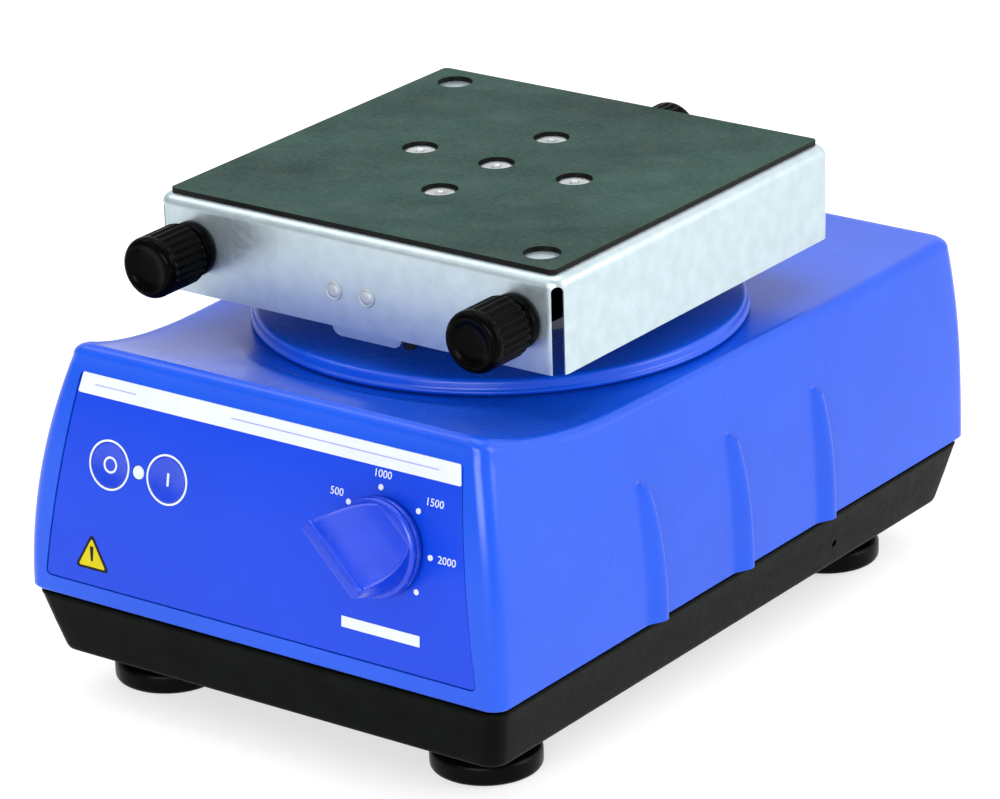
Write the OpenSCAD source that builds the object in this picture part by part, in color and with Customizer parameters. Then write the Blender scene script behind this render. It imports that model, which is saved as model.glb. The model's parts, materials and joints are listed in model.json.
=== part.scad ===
// Small orbital vortex shaker. A two-part moulded housing stands on rubber feet, a motor
// turns an eccentric journal with a 2 mm throw, and three idler cranks keep the round
// shaking table from turning, so that the sheet-metal tray on it moves in a small circle.
// Millimetres, +Z up, front towards -Y. Origin: middle of the outer box, on the bench.

/* [Housing] */
// Width of the blue housing at its bottom edge
body_w = 157; // [152:1:162]
// Depth of the blue housing at its bottom edge
body_d = 228.6; // [224:0.2:234]
// Height of the housing's bottom edge above the bench
body_z = 30.6; // [29.6:0.2:31.6]
// Height of the flat top around the shaking table
deck_z = 90; // [89.4:0.1:90.2]
// Rise of the front lip above the flat top
lip_rise = 8.7; // [4:0.1:11]
// Radius of the curve of the front wall, seen from the side
front_curve_r = 211; // [195:1:260]
// Thickness of the moulded wall
wall = 2.5; // [2:0.1:3]
// Radius of the rounded upper edges
edge_r = 3.2; // [2:0.1:4]
// Radius of the housing's upright corners
corner_r = 5; // [4:0.5:8]

/* [Base] */
// Height of the rubber feet
foot_h = 11.4; // [10:0.2:12]
// Radius of a foot at its widest
foot_r = 15; // [12:0.5:17]
// Distance of the feet from the middle plane
foot_x = 53.3; // [50:0.1:56]
// Distance of the front feet ahead of the middle of the housing
foot_front = 86.4; // [82:0.2:90]
// Distance of the rear feet behind the middle of the housing
foot_rear = 78.5; // [74:0.5:82]
// How far the base tub's bottom edge stands inside the housing's edge
tub_inset = 5.4; // [4:0.2:7]

/* [Drive] */
// Throw of the eccentric: half of the diameter of the shaking circle
throw = 2; // [1.5:0.1:2.2]
// Radius of the circle on which the three idler cranks stand
idler_circle_r = 40; // [39:0.5:42]
// Outer radius of the motor can
motor_r = 31; // [28:0.5:33]
// Radius of the motor shaft
shaft_r = 4; // [3.5:0.1:4.2]
// Radius of the eccentric journal
journal_r = 7.5; // [7.2:0.1:8]

/* [Table and tray] */
// Radius of the blue splash disc
disc_r = 68.2; // [66:0.1:69]
// Width of the tray
tray_w = 132; // [130:0.5:136]
// Depth of the tray
tray_d = 129; // [127:0.5:133]
// Height of the tray's upper face
tray_z = 130.6; // [128:0.1:134]
// Height of the tray's folded skirt
skirt_h = 26.5; // [24:0.1:28]
// Thickness of the tray's sheet
sheet = 1.5; // [1.2:0.1:2]
// Thickness of the rubber mat
mat_h = 1.4; // [1.2:0.1:2.5]
// Distance of the outer tray screws from the middle one
screw_pitch = 25.7; // [24:0.1:27]
// Distance of the two corner holes of the mat from its middle, along each side
corner_hole = 52.5; // [48:0.5:54]

/* [Clamp knobs] */
// Distance of the two front knobs from the middle plane
knob_x = 53; // [48:0.5:54]
// Height of the knobs' axes
knob_z = 117.5; // [116:0.5:118]
// Radius of the fluted grip
grip_r = 8.5; // [8:0.1:9]
// Reach of a knob from the skirt
knob_reach = 21; // [19:0.5:23]

/* [Front panel] */
// Distance of the dial from the middle plane
dial_x = 40.7; // [38:0.1:42]
// Height of the dial's axis
dial_z = 67.7; // [65:0.1:69]
// Radius of the dial's base ring
dial_r = 13; // [12:0.1:13.5]
// Reach of the dial from the panel
dial_reach = 22; // [18:0.5:24]
// Angle at which the dial's pointer rests, from the right, counter-clockwise
dial_rest = 140; // [130:1:150]
// Height of the two push buttons' axes
button_z = 70.1; // [68:0.1:72]
// Radius of a push button
button_r = 6.2; // [5.5:0.1:6.6]

/* [Hidden] */
$fn = 48;

half_w = body_w / 2;
half_d = body_d / 2;
gap = 0.05;                       // radial clearance of a running or screwed fit
cut = 1;                          // how far a cutter runs past the face it opens

// the eccentric journal points to the front at rest, so the table sits ahead of the drive
table_y = -2.5;
drive_y = table_y + throw;
opening_r = 56;                   // round opening in the housing's top
dish_r = disc_r + throw + 1.5;    // the flat that the splash disc moves over
ramp_y = -50;                     // the top starts to rise towards the front lip here
front_top_y = -103;               // the front lip's crest
tail_y = 65;                      // the top starts to rise to its rear edge here
tail_rise = 1;
side_front_r = 208;               // curve of the side walls at the front
side_back_k = 0.001;              // and its flatter curve at the back
back_bend_z = 55;                 // the rear wall leans in above this height
back_lean = 2.9;

tub_floor = 3;
tub_top = body_z - 0.7;           // a shadow gap is left under the housing's edge
lip_top = body_z + 2.4;           // the tub's inner lip locates the housing
floor_z = foot_h + tub_floor;
screw_r = 2;                      // the M4 screws that hold the base together
screw_head_r = 4;
tub_post_r = 6;
foot_post_z = floor_z + 5;
post_z = body_z + 3;              // the housing rests on the four taller posts
side_hole = [49, 19];             // small blind hole in each side of the tub, as y and z
post_x = 64;                      // the four screws that hold the housing down
post_y = 58;
post_r = 4.5;

chassis_z = 60;                   // underside of the plate that carries the motor
chassis_t = 4;
chassis_w = 112;
standoff = 48;
crank_r = 5;
crank_pin_r = 4;
bearing_r = 9;
motor_bolt_circle = 20;
motor_bolt_r = 1.7;
motor_wall = 2.5;
motor_z = 18;                     // lowest face of the motor can
magnet_z = [27, 51];              // the stator and rotor run between these heights
shaft_top = 80;
hub_z = 66;
hub_r = 12;
journal_z = 72;
journal_top = 86;
casting_z = 74;
casting_plate_z = 78;
casting_top = 88;                 // the bearing and bushes sit in pockets below this
table_bore_r = 16;
bush_bore_r = 7;
drum_r = 34;
drum_top = tray_z - sheet;
disc_z = deck_z + 0.6;
disc_top = deck_z + 5;
disc_plate = 2;

bend_r = 3;
corner_slit = 4;
mat_w = 126;
mat_d = 124.5;
mat_hole_r = 5;
tray_screw_r = 2.4;
tray_front_y = table_y - tray_d / 2;
tray_rear_y = table_y + tray_d / 2;
clamp_screw_r = 2.9;
screw_end = 16;                   // reach of a clamp screw inside the skirt

panel_depth = 1;                  // depth of the recess that the front panel lies in
panel_low = 35.4;
panel_high = 92.6;
panel_low_w = 71.5;               // half widths of the panel at those heights
panel_high_w = 62.7;
panel_face = 0.25;                // depth of the panel's face below the wall's surface
print_face = 0.1;                 // and of the print on it
stripe_z = 86.5;
dot_angles = [143, 99, 48, 0, -41];
dot_circle = 15;
dot_r = 0.75;
tag_size = [25, 3];
tag_at = [41, 45];
caution_at = [-55.2, 40.2];       // middle of the triangle's base
caution_half = 5.9;
caution_h = 10.3;
buttons_x = [-50.1, -30.5];
button_lift = -0.15;              // the caps stop just behind the wall's surface
dish_curve = 30;                  // radius of the hollow in a button's face
led_x = -40.3;
led_r = 1.9;
bush_r = 4;                       // threaded bush of the speed control
pot_r = 8.5;
pot_shaft_r = 3;
board_back = -16;                 // back of the control board, measured from the panel
board_t = 1.6;
board_seat = board_back + board_t + 0.15;  // the parts on it stand just clear of its face
board_mid = [-4, 69];             // middle of the control board, as x and z
board_size = [116, 36];

inlet_x = 40;
inlet_z = 47;
inlet_flange = 1.5;
inlet_half = [25, 12];            // half width and half height of its flange
inlet_depth = 17;                 // of its well, from the flange's face
inlet_screw_x = 20;
power_at = [-10, 80];             // middle of the power board
power_size = [88, 40];
power_z = 26;
power_hole = [40, 16];
coil_at = [-30, 80];
coil_z = 44;

plate_t = 1.5;                    // plate behind the front skirt
plate_x = [-8.8, 14.1];
plate_z = [101, 119];
plate_corner = 3;
rivets_x = [-6.5, 4.3];
rivet_z = 114;
rivet_hole_r = 1.45;
foot_screw_z = 5;                 // depth of the pocket in a foot
tub_screw_z = 6;                  // and of the housing screws' pockets in the tub

dial_tilt = asin((dial_z - body_z) / front_curve_r);
dial_grip_r = 11.5;               // radius of the bar grip at its crest
scoop_r = 26;                     // the scoops that leave the bar standing
scoop_off = 1.7;
crest_half = scoop_r + scoop_off - sqrt(pow(scoop_r, 2) - 1.5 * 1.5);
crest_drop = dial_grip_r * sin(180 - dial_rest + asin(crest_half / dial_grip_r));
front_reach = -front_y(dial_z) + dial_reach * cos(dial_tilt) + crest_drop * sin(dial_tilt);
back_reach = half_d + inlet_flange;
frame_y = (front_reach - back_reach) / 2;

idler_at = [for (a = [90, 210, 330]) idler_circle_r * [cos(a), sin(a)]];
tray_screw_at = [[0, 0], [screw_pitch, 0], [-screw_pitch, 0], [0, screw_pitch], [0, -screw_pitch]];
foot_at = [[-foot_x, -foot_front], [foot_x, -foot_front], [-foot_x, foot_rear], [foot_x, foot_rear]];
post_at = [for (x = [-1, 1], y = [-1, 1]) [x * post_x, y * post_y]];
standoff_at = [for (x = [-1, 1], y = [-1, 1]) [x * standoff, drive_y + y * standoff]];

blue = [0.17, 0.30, 0.90];
black = [0.08, 0.08, 0.08];
steel = [0.74, 0.76, 0.77];
aluminium = [0.80, 0.82, 0.83];
brass = [0.78, 0.62, 0.28];
board_green = [0.10, 0.36, 0.20];

// ---------- shared functions and modules ----------

function smooth(t) = t <= 0 ? 0 : t >= 1 ? 1 : t * t * (3 - 2 * t);
function mix(a, b, t) = a + (b - a) * t;

// how far the cylindrical front wall leans back at height z, and where it stands
function front_lean(z) = front_curve_r - sqrt(pow(front_curve_r, 2) - pow(max(z - body_z, 0), 2));
function front_y(z) = front_lean(z) - half_d;
function back_y(z) = half_d - back_lean * pow(max(z - back_bend_z, 0) / (deck_z - back_bend_z), 2);

// half width of the housing: the side walls curve in, most at the front
function side_k(y) =
    let(front_k = 1 / (2 * side_front_r), u = min(max((y + 75) / 187, 0), 1))
    side_back_k + (front_k - side_back_k) * pow(1 - u, 1.7);
function width_at(y, z) = half_w - side_k(y) * pow(max(z - body_z, 0), 2);

// height of the top surface: a concave rise to the front lip, outside the disc's flat
function top_at(x, y) =
    let(ramp = lip_rise * pow(max(ramp_y - y, 0) / (ramp_y - front_top_y), 2),
        tail = tail_rise * pow(max(y - tail_y, 0) / (half_d - tail_y), 2))
    deck_z + tail + ramp * smooth((norm([x, y - drive_y]) - dish_r) / 8);

// a point of the bottom outline, carried up to height z on the curved walls
function wall_xy(p, z) =
    let(y = p.y < 0 ? -p.y * front_y(z) / half_d : p.y * back_y(z) / half_d)
    [p.x * width_at(y, z) / half_w, y];
function edge_top(p) = let(q = wall_xy(p, deck_z + lip_rise * 0.6)) top_at(q.x, q.y);

// outline of a rounded rectangle, with points along its sides as well
function outline(a, b, r, arc = 3, short = 6, long = 12) = [
    for (q = [0:3])
        let(sx = q == 0 || q == 3 ? 1 : -1, sy = q < 2 ? 1 : -1,
            c = [sx * (a - r), sy * (b - r)],
            from = c + r * [cos(90 * q + 90), sin(90 * q + 90)],
            span = q % 2 == 0 ? [-2 * sx * (a - r), 0] : [0, -2 * sy * (b - r)],
            n = q % 2 == 0 ? short : long)
        each concat(
            [for (i = [0:arc]) c + r * [cos(90 * q + 90 * i / arc), sin(90 * q + 90 * i / arc)]],
            [for (i = [1:n - 1]) from + span * i / n])
];

// a solid through a stack of rings with equal numbers of points, listed counter-clockwise
// from the lowest up. Its two ends are closed by fans, or the last ring joins the first.
module ring_solid(rings, joined = false) {
    n = len(rings[0]);
    m = len(rings);
    last = joined ? m - 1 : m - 2;
    sides = [for (j = [0:last], i = [0:n - 1])
        let(a = j * n + i, b = j * n + (i + 1) % n,
            c = ((j + 1) % m) * n + (i + 1) % n, d = ((j + 1) % m) * n + i)
        each [[a, d, b], [b, d, c]]];
    hubs = joined ? [] : [[0, 0, rings[0][0].z], [0, 0, rings[m - 1][0].z]];
    fans = joined ? [] : [for (i = [0:n - 1]) let(k = (i + 1) % n)
        each [[i, k, m * n], [(m - 1) * n + k, (m - 1) * n + i, m * n + 1]]];
    polyhedron(concat([for (r = rings) each r], hubs), concat(sides, fans));
}

// everything is drawn about the middle of the housing and moved to the part's origin
module in_frame() {
    translate([0, frame_y, 0]) children();
}

// places its child on the front wall at (x, z): its +Z looks straight out of the panel
module on_front(x, z) {
    tilt = asin((z - body_z) / front_curve_r);
    translate([x, front_y(z), z]) rotate([90 - tilt, 0, 0]) children();
}

module rod(r, z0, z1) {
    translate([0, 0, z0]) cylinder(r = r, h = z1 - z0);
}

module tube(r_out, r_in, z0, z1) {
    difference() {
        rod(r_out, z0, z1);
        rod(r_in, z0 - cut, z1 + cut);
    }
}

module at_each(points) {
    for (p = points) translate([p.x, p.y, 0]) children();
}

// pan-head screw: the head sits on z = 0 and the shank hangs below it
module pan_screw(r, length, head_r, head_h) {
    difference() {
        union() {
            rod(r, -length, 0.01);
            rod(head_r, 0, head_h);
        }
        translate([0, 0, head_h * 0.4]) cylinder(r = head_r * 0.42, h = head_h, $fn = 6);
    }
}

// a slab that follows the front wall, between two depths behind its surface
module front_slab(deep, shallow) {
    translate([-half_w, front_curve_r - half_d, body_z]) rotate([0, 90, 0])
        difference() {
            cylinder(r = front_curve_r - shallow, h = body_w, $fn = 96);
            translate([0, 0, -cut]) cylinder(r = front_curve_r - deep, h = body_w + 2 * cut, $fn = 96);
        }
}

// the panel's outline as a prism through the front wall, made smaller by margin
module panel_prism(margin, low = panel_low, high = panel_high) {
    slope = (panel_low_w - panel_high_w) / (panel_high - panel_low);
    a = panel_low_w - (low - panel_low) * slope - margin;
    b = panel_low_w - (high - panel_low) * slope - margin;
    translate([0, -half_d + 20, 0]) rotate([90, 0, 0]) linear_extrude(25)
        polygon([[-a, low + margin], [a, low + margin], [b, high - margin], [-b, high - margin]]);
}

// ---------- base ----------

function tub_ring(inset, z) = [for (p = outline(half_w - inset, half_d - inset, corner_r)) [p.x, p.y, z]];

module base_tub() {
    mid_z = (foot_h + tub_top) / 2;
    rings = [
        tub_ring(tub_inset + 1.2, foot_h), tub_ring(tub_inset, foot_h + 1.2),
        tub_ring(mix(tub_inset, 1.2, 0.5), mid_z), tub_ring(1.3, tub_top - 1.2),
        tub_ring(1.8, tub_top - 0.3), tub_ring(2.6, tub_top), tub_ring(wall + 0.4, tub_top),
        tub_ring(wall + 0.4, lip_top), tub_ring(wall + 2, lip_top),
        tub_ring(tub_inset + 1.5, floor_z + 2), tub_ring(tub_inset + 3.5, floor_z)
    ];
    color(black) in_frame() difference() {
        union() {
            ring_solid(rings);
            at_each(foot_at) rod(tub_post_r, floor_z - 1, foot_post_z);
            at_each(post_at) rod(tub_post_r, floor_z - 1, post_z);
        }
        at_each(foot_at) rod(screw_r + gap, foot_h - cut, foot_post_z + cut);
        at_each(post_at) {
            rod(screw_r + gap, foot_h - cut, post_z + cut);
            rod(screw_head_r + 0.5, foot_h - cut, foot_h + tub_screw_z);
        }
        at_each(standoff_at) rod(screw_r + gap, foot_h + 0.5, floor_z + cut);
        for (x = [-1, 1])
            translate([x * half_w, side_hole.x, side_hole.y]) rotate([0, -90 * x, 0]) rod(1.1, -cut, 6);
    }
}

module rubber_feet() {
    color(black) in_frame() at_each(foot_at) difference() {
        rotate_extrude() polygon([
            [0, 0], [foot_r - 1.5, 0], [foot_r - 0.4, 0.6], [foot_r, 1.6], [foot_r, 5],
            [foot_r - 1.2, 6.4], [foot_r - 2.6, 7], [foot_r - 3, foot_h], [0, foot_h]]);
        rod(screw_r + gap, -cut, foot_h + cut);
        rod(screw_head_r + 1.5, -cut, foot_screw_z);
    }
}

module foot_screws() {
    color(steel) in_frame() at_each(foot_at)
        translate([0, 0, foot_screw_z]) mirror([0, 0, 1]) pan_screw(screw_r, 13, screw_head_r, 2.5);
}

// ---------- housing ----------

function shell_wall(inset, t, drop = 0) = [
    for (p = outline(half_w - inset, half_d - inset, corner_r - inset / 2))
        let(z = mix(body_z, edge_top(p) - edge_r - drop, t), q = wall_xy(p, z)) [q.x, q.y, z]
];
function shell_edge(a) = [
    for (p = outline(half_w, half_d, corner_r))
        let(k = edge_r * (1 - cos(a)), s = [p.x * (1 - k / half_w), p.y * (1 - k / half_d)],
            top = edge_top(p), q = wall_xy(s, top - edge_r))
        [q.x, q.y, top - edge_r * (1 - sin(a))]
];
function shell_top(inset, t, drop = 0) = [
    for (p = outline(half_w - inset, half_d - inset, corner_r - inset / 2))
        let(q = wall_xy(p, edge_top(p) - edge_r), a = atan2(q.y - drive_y, q.x),
            c = [opening_r * cos(a), drive_y + opening_r * sin(a)], s = mix(q, c, t))
        [s.x, s.y, top_at(s.x, s.y) - drop]
];

// one gill: a thin wedge that grows out of the side wall and ends in a step facing the rear;
// its crest stands nearly upright at the foot and sweeps forward to a point at the top
module gill(y) {
    wide = 6;
    proud = 2.4;
    buried = 1.2;
    apex_z = 71.7;
    levels = [0, 0.3, 0.55, 0.75, 0.9, 1];
    last = len(levels) - 1;
    points = [for (t = levels)
        let(z = mix(body_z, apex_z, t), w = width_at(y, z), grown = max(1 - pow(t, 3), 0.06))
        each [[w - buried, y, z], [w, y, z], [w + proud * grown, y + wide * grown, z],
            [w - buried, y + wide * grown, z]]];
    sides = [for (i = [0:last - 1], j = [0:3])
        let(a = 4 * i + j, b = 4 * i + (j + 1) % 4)
        each [[a, a + 4, b + 4], [a, b + 4, b]]];
    top = 4 * last;
    ends = [[0, 1, 2], [0, 2, 3], [top + 2, top + 1, top], [top + 3, top + 2, top]];
    polyhedron(points, concat(sides, ends));
}

module housing_shell() {
    rings = concat(
        [for (t = [0:0.2:1]) shell_wall(0, t)],
        [for (a = [30, 60, 90]) shell_edge(a)],
        [for (t = [0.1, 0.22, 0.36, 0.55, 0.66, 0.78, 1]) shell_top(edge_r, t)],
        [for (t = [1, 0.5, 0.2, 0.02]) shell_top(edge_r + wall / 2, t, wall)],
        [for (t = [0.95, 0.5, 0]) shell_wall(wall, t, wall)]);
    ring_solid(rings, joined = true);
}

module upper_housing() {
    color(blue) in_frame() difference() {
        union() {
            housing_shell();
            for (y = [-48, -7, 34], x = [0, 1]) mirror([x, 0, 0]) gill(y);
            for (p = post_at) translate([p.x, p.y, 0])
                rod(post_r, post_z + 0.4, top_at(p.x, p.y) - 1);
        }
        at_each(post_at) rod(screw_r + gap, body_z, 60);
        intersection() {
            front_slab(panel_depth, -3);
            panel_prism(0);
        }
        for (x = buttons_x) on_front(x, button_z) rod(button_r + 0.4, -8, 2);
        on_front(led_x, button_z) rod(led_r + 0.5, -8, 2);
        on_front(dial_x, dial_z) rod(bush_r + 0.3, -8, 2);
        translate([inlet_x, half_d, inlet_z]) cube([28.2, 12, 21.2], center = true);
        for (x = [-inlet_screw_x, inlet_screw_x])
            translate([inlet_x + x, half_d, inlet_z]) rotate([90, 0, 0]) rod(1.6, -5, 8);
    }
}

module housing_screws() {
    color(steel) in_frame() at_each(post_at)
        translate([0, 0, foot_h + tub_screw_z]) mirror([0, 0, 1]) pan_screw(screw_r, 36, screw_head_r, 2.6);
}

// ---------- front panel ----------

module front_panel() {
    color(blue) in_frame() difference() {
        intersection() {
            front_slab(panel_depth, panel_face);
            panel_prism(0.3);
        }
        for (x = buttons_x) on_front(x, button_z) rod(button_r + 0.08, -8, 2);
        on_front(led_x, button_z) rod(led_r + 0.15, -8, 2);
        on_front(dial_x, dial_z) rod(bush_r + 0.3, -8, 2);
    }
}

module stripe_label() {
    color("white") in_frame() intersection() {
        front_slab(panel_face, print_face);
        panel_prism(0.6, stripe_z, panel_high + 0.4);
    }
}

// dots round the dial for its speeds, and a small blank tag
module panel_print() {
    color("white") in_frame() intersection() {
        front_slab(panel_face, print_face);
        union() {
            for (a = dot_angles)
                on_front(dial_x, dial_z) rotate([0, 0, a]) translate([dot_circle, 0, 0]) rod(dot_r, -2, 2);
            translate([tag_at.x, -half_d, tag_at.y]) cube([tag_size.x, 20, tag_size.y], center = true);
        }
    }
}

module caution_mark() {
    color("gold") in_frame() intersection() {
        front_slab(panel_face, print_face);
        translate([caution_at.x, 0, caution_at.y]) rotate([90, 0, 0]) linear_extrude(half_d + cut)
            polygon([[-caution_half, 0], [caution_half, 0], [0, caution_h]]);
    }
}

module status_led() {
    color("white") in_frame() on_front(led_x, button_z) union() {
        rod(led_r, -13, button_lift);
        rod(2.6, board_seat, -13);
    }
}

// a cap in the panel's hole, a collar that keeps it in, and the stem over its switch
module button_at(x) {
    on_front(x, button_z) difference() {
        union() {
            rod(button_r, -3.2, button_lift);
            rod(button_r + 1.2, -4.4, -3.2);
            rod(2, -10.2, -4.4);
        }
        translate([0, 0, dish_curve - 0.7]) sphere(r = dish_curve, $fn = 96);
    }
}

module button_off() {
    color(blue) in_frame() button_at(buttons_x[0]);
}

module button_on() {
    color(blue) in_frame() button_at(buttons_x[1]);
}

module switch_block() {
    color(black) in_frame() for (x = buttons_x) on_front(x, button_z)
        translate([-3, -3, board_seat]) cube([6, 6, 3.2]);
}

function board_corner(sx, sy) = [sx * (board_size.x / 2 - 5), sy * (board_size.y / 2 - 5)];

module control_board() {
    color(board_green) in_frame() on_front(board_mid.x, board_mid.y)
        translate([0, 0, board_back]) difference() {
            translate([0, 0, board_t / 2]) cube([board_size.x, board_size.y, board_t], center = true);
            for (sx = [-1, 1], sy = [-1, 1]) translate(concat(board_corner(sx, sy), 0)) rod(1.6, -cut, 3);
        }
}

module board_spacers() {
    color("white") in_frame() on_front(board_mid.x, board_mid.y)
        for (sx = [-1, 1], sy = [-1, 1]) translate(concat(board_corner(sx, sy), 0)) {
            rod(3, board_back + board_t, -3.8);
            rod(1.5, board_back - 1.5, board_back + board_t + 0.01);
        }
}

module speed_pot() {
    color(steel) in_frame() on_front(dial_x, dial_z) difference() {
        union() {
            rod(pot_r, board_seat, -4);
            rod(bush_r, -4.01, 2.4);
        }
        rod(pot_shaft_r + gap, -12, 3);
    }
}

module pot_nut() {
    color(steel) in_frame() on_front(dial_x, dial_z) difference() {
        cylinder(r = 6.2, h = 1.8, $fn = 6);
        rod(bush_r + gap, -cut, 3);
    }
}

module pot_shaft() {
    color(aluminium) in_frame() on_front(dial_x, dial_z) rod(pot_shaft_r, -11.5, 14);
}

// bar grip: a round body with a wide scoop on each side, on a base ring
module speed_dial() {
    ring_top = 4.6;
    color(blue) in_frame() on_front(dial_x, dial_z) rotate([0, 0, dial_rest]) difference() {
        union() {
            rod(dial_r, 0.6, ring_top);
            difference() {
                translate([0, 0, ring_top])
                    cylinder(r1 = dial_grip_r + 0.4, r2 = dial_grip_r, h = dial_reach - ring_top, $fn = 64);
                for (s = [-1, 1]) translate([-20, s * (scoop_r + scoop_off), dial_reach + 1.5])
                    rotate([0, 90, 0]) cylinder(r = scoop_r, h = 40, $fn = 96);
            }
        }
        rod(pot_shaft_r + 0.02, 0, 14);
        rod(7, 0, 3.2);
    }
}

// ---------- mains inlet and power board ----------

module mains_inlet() {
    color(black) in_frame() translate([inlet_x, half_d, inlet_z]) difference() {
        union() {
            translate([-inlet_half.x, 0, -inlet_half.y])
                cube([2 * inlet_half.x, inlet_flange, 2 * inlet_half.y]);
            translate([-13.8, -22, -10.3]) cube([27.6, 22.01, 20.6]);
        }
        translate([-12, inlet_flange - inlet_depth, -8.2]) cube([24, inlet_depth + cut, 16.4]);
        for (x = [-inlet_screw_x, inlet_screw_x]) translate([x, 0, 0]) rotate([90, 0, 0]) rod(1.6, -3, 3);
    }
}

module inlet_pins() {
    color(brass) in_frame() translate([inlet_x, half_d - inlet_depth + inlet_flange, inlet_z])
        for (p = [[-7, -3.2], [7, -3.2], [0, 3.2]]) translate([p.x - 1, 0, p.y - 2]) cube([2, 12, 4]);
}

module inlet_screws() {
    color(steel) in_frame() for (x = [-inlet_screw_x, inlet_screw_x])
        translate([inlet_x + x, half_d, inlet_z]) rotate([-90, 0, 0])
            rotate_extrude() polygon([[0, -6], [1.5, -6], [1.5, 1.45], [0, 1.45]]);
}

module power_board() {
    color(board_green) in_frame() translate([power_at.x, power_at.y, power_z]) difference() {
        translate([0, 0, board_t / 2]) cube([power_size.x, power_size.y, board_t], center = true);
        for (sx = [-1, 1], sy = [-1, 1])
            translate([sx * power_hole.x, sy * power_hole.y, 0]) rod(1.6, -cut, 3);
    }
}

module board_posts() {
    color(brass) in_frame() translate([power_at.x, power_at.y, 0])
        for (sx = [-1, 1], sy = [-1, 1]) translate([sx * power_hole.x, sy * power_hole.y, 0]) {
            rod(3, floor_z, power_z);
            rod(1.5, power_z, power_z + 3);
        }
}

module transformer_core() {
    color([0.35, 0.36, 0.38]) in_frame() translate([coil_at.x, coil_at.y, coil_z]) difference() {
        cube([42, 18, 32], center = true);
        for (x = [-1, 1]) translate([x * 11, 0, 0]) cube([8, 20, 18], center = true);
    }
}

module transformer_coil() {
    color([0.72, 0.42, 0.16]) in_frame() translate([coil_at.x, coil_at.y, coil_z]) difference() {
        cube([29.6, 32, 17.6], center = true);
        cube([14.1, 18.1, 20], center = true);
    }
}

module capacitors() {
    color([0.12, 0.13, 0.2]) in_frame() for (x = [4, 22])
        translate([x, 70, 0]) rod(7.5, power_z + board_t, 54);
}

module heat_sink() {
    color(aluminium) in_frame() translate([0, 84, power_z + board_t]) linear_extrude(26) union() {
        square([26, 2]);
        for (i = [0:4]) translate([6 * i, 0]) square([2, 9]);
    }
}

// ---------- chassis and motor ----------

module chassis_plate() {
    color(aluminium) in_frame() difference() {
        translate([-chassis_w / 2, drive_y - chassis_w / 2, chassis_z])
            cube([chassis_w, chassis_w, chassis_t]);
        translate([0, drive_y, 0]) {
            rod(11.1, chassis_z - cut, chassis_z + chassis_t + cut);
            at_each(idler_at) rod(bearing_r, chassis_z - cut, chassis_z + chassis_t + cut);
            for (a = [45:90:315]) rotate([0, 0, a]) translate([motor_bolt_circle, 0, 0])
                rod(2.2, chassis_z - cut, chassis_z + chassis_t + cut);
        }
        at_each(standoff_at) rod(2.2, chassis_z - cut, chassis_z + chassis_t + cut);
    }
}

module chassis_posts() {
    color(steel) in_frame() at_each(standoff_at) difference() {
        union() {
            rod(5, floor_z, chassis_z);
            rod(screw_r, foot_h + 1, floor_z + 0.01);
        }
        rod(screw_r + gap, chassis_z - 12, chassis_z + cut);
    }
}

module chassis_screws() {
    color(steel) in_frame() at_each(standoff_at)
        translate([0, 0, chassis_z + chassis_t]) pan_screw(screw_r, 13, 3.6, 2.4);
}

module idler_bearings() {
    color(steel) in_frame() translate([0, drive_y, 0]) at_each(idler_at)
        tube(bearing_r - gap, crank_r + gap, chassis_z - 2, chassis_z + chassis_t + 1);
}

module motor_can() {
    color([0.55, 0.57, 0.6]) in_frame() translate([0, drive_y, 0]) difference() {
        union() {
            rod(motor_r, motor_z, chassis_z);
            rod(11, chassis_z - 0.01, chassis_z + 3);
        }
        rod(motor_r - motor_wall, motor_z + 5, chassis_z - 4);
        rod(bearing_r, motor_z - cut, chassis_z + 3 + cut);
        for (a = [45:90:315]) rotate([0, 0, a]) translate([motor_bolt_circle, 0, 0])
            rod(motor_bolt_r + gap, chassis_z - 5, chassis_z + cut);
    }
}

module motor_stator() {
    color([0.72, 0.42, 0.16]) in_frame() translate([0, drive_y, 0])
        tube(motor_r - motor_wall - gap, 17, magnet_z[0], magnet_z[1]);
}

module motor_bearings() {
    color(steel) in_frame() translate([0, drive_y, 0]) {
        tube(bearing_r - gap, shaft_r + gap, motor_z + 0.5, motor_z + 5);
        tube(bearing_r - gap, shaft_r + gap, chassis_z - 3, chassis_z + 2);
    }
}

module motor_screws() {
    color(steel) in_frame() translate([0, drive_y, 0]) for (a = [45:90:315]) rotate([0, 0, a])
        translate([motor_bolt_circle, 0, chassis_z + chassis_t]) pan_screw(motor_bolt_r, 7.5, 3, 1.4);
}

// ---------- parts that turn with the motor ----------

module drive_shaft() {
    color(steel) in_frame() translate([0, drive_y, 0]) rod(shaft_r, motor_z + 1, shaft_top);
}

module motor_rotor() {
    color([0.4, 0.41, 0.44]) in_frame() translate([0, drive_y, 0])
        tube(16.5, shaft_r + 0.02, magnet_z[0], magnet_z[1]);
}

module eccentric_hub() {
    color(steel) in_frame() translate([0, drive_y, 0]) difference() {
        union() {
            rod(hub_r, hub_z, journal_z);
            translate([0, -throw, 0]) rod(journal_r, journal_z - 0.01, journal_top);
        }
        rod(shaft_r + 0.02, hub_z - cut, shaft_top);
        rod(1.5 + gap, shaft_top - cut, journal_top + cut);
    }
}

module counterweight() {
    color(brass) in_frame() translate([0, drive_y, 0]) intersection() {
        tube(30, hub_r + 0.03, hub_z, journal_z);
        translate([-30, 1, hub_z]) cube([60, 30, journal_z - hub_z]);
    }
}

module hub_screw() {
    color(steel) in_frame() translate([0, drive_y, journal_top]) pan_screw(1.5, 5.8, 2.8, 1.6);
}

module idler_crank(i) {
    translate([idler_at[i].x, drive_y + idler_at[i].y, 0]) {
        rod(crank_r, chassis_z - 4, hub_z + 0.01);
        rod(8, hub_z, journal_z - 1);
        translate([0, -throw, 0]) rod(crank_pin_r, journal_z - 1.01, journal_top - 1);
    }
}

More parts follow.
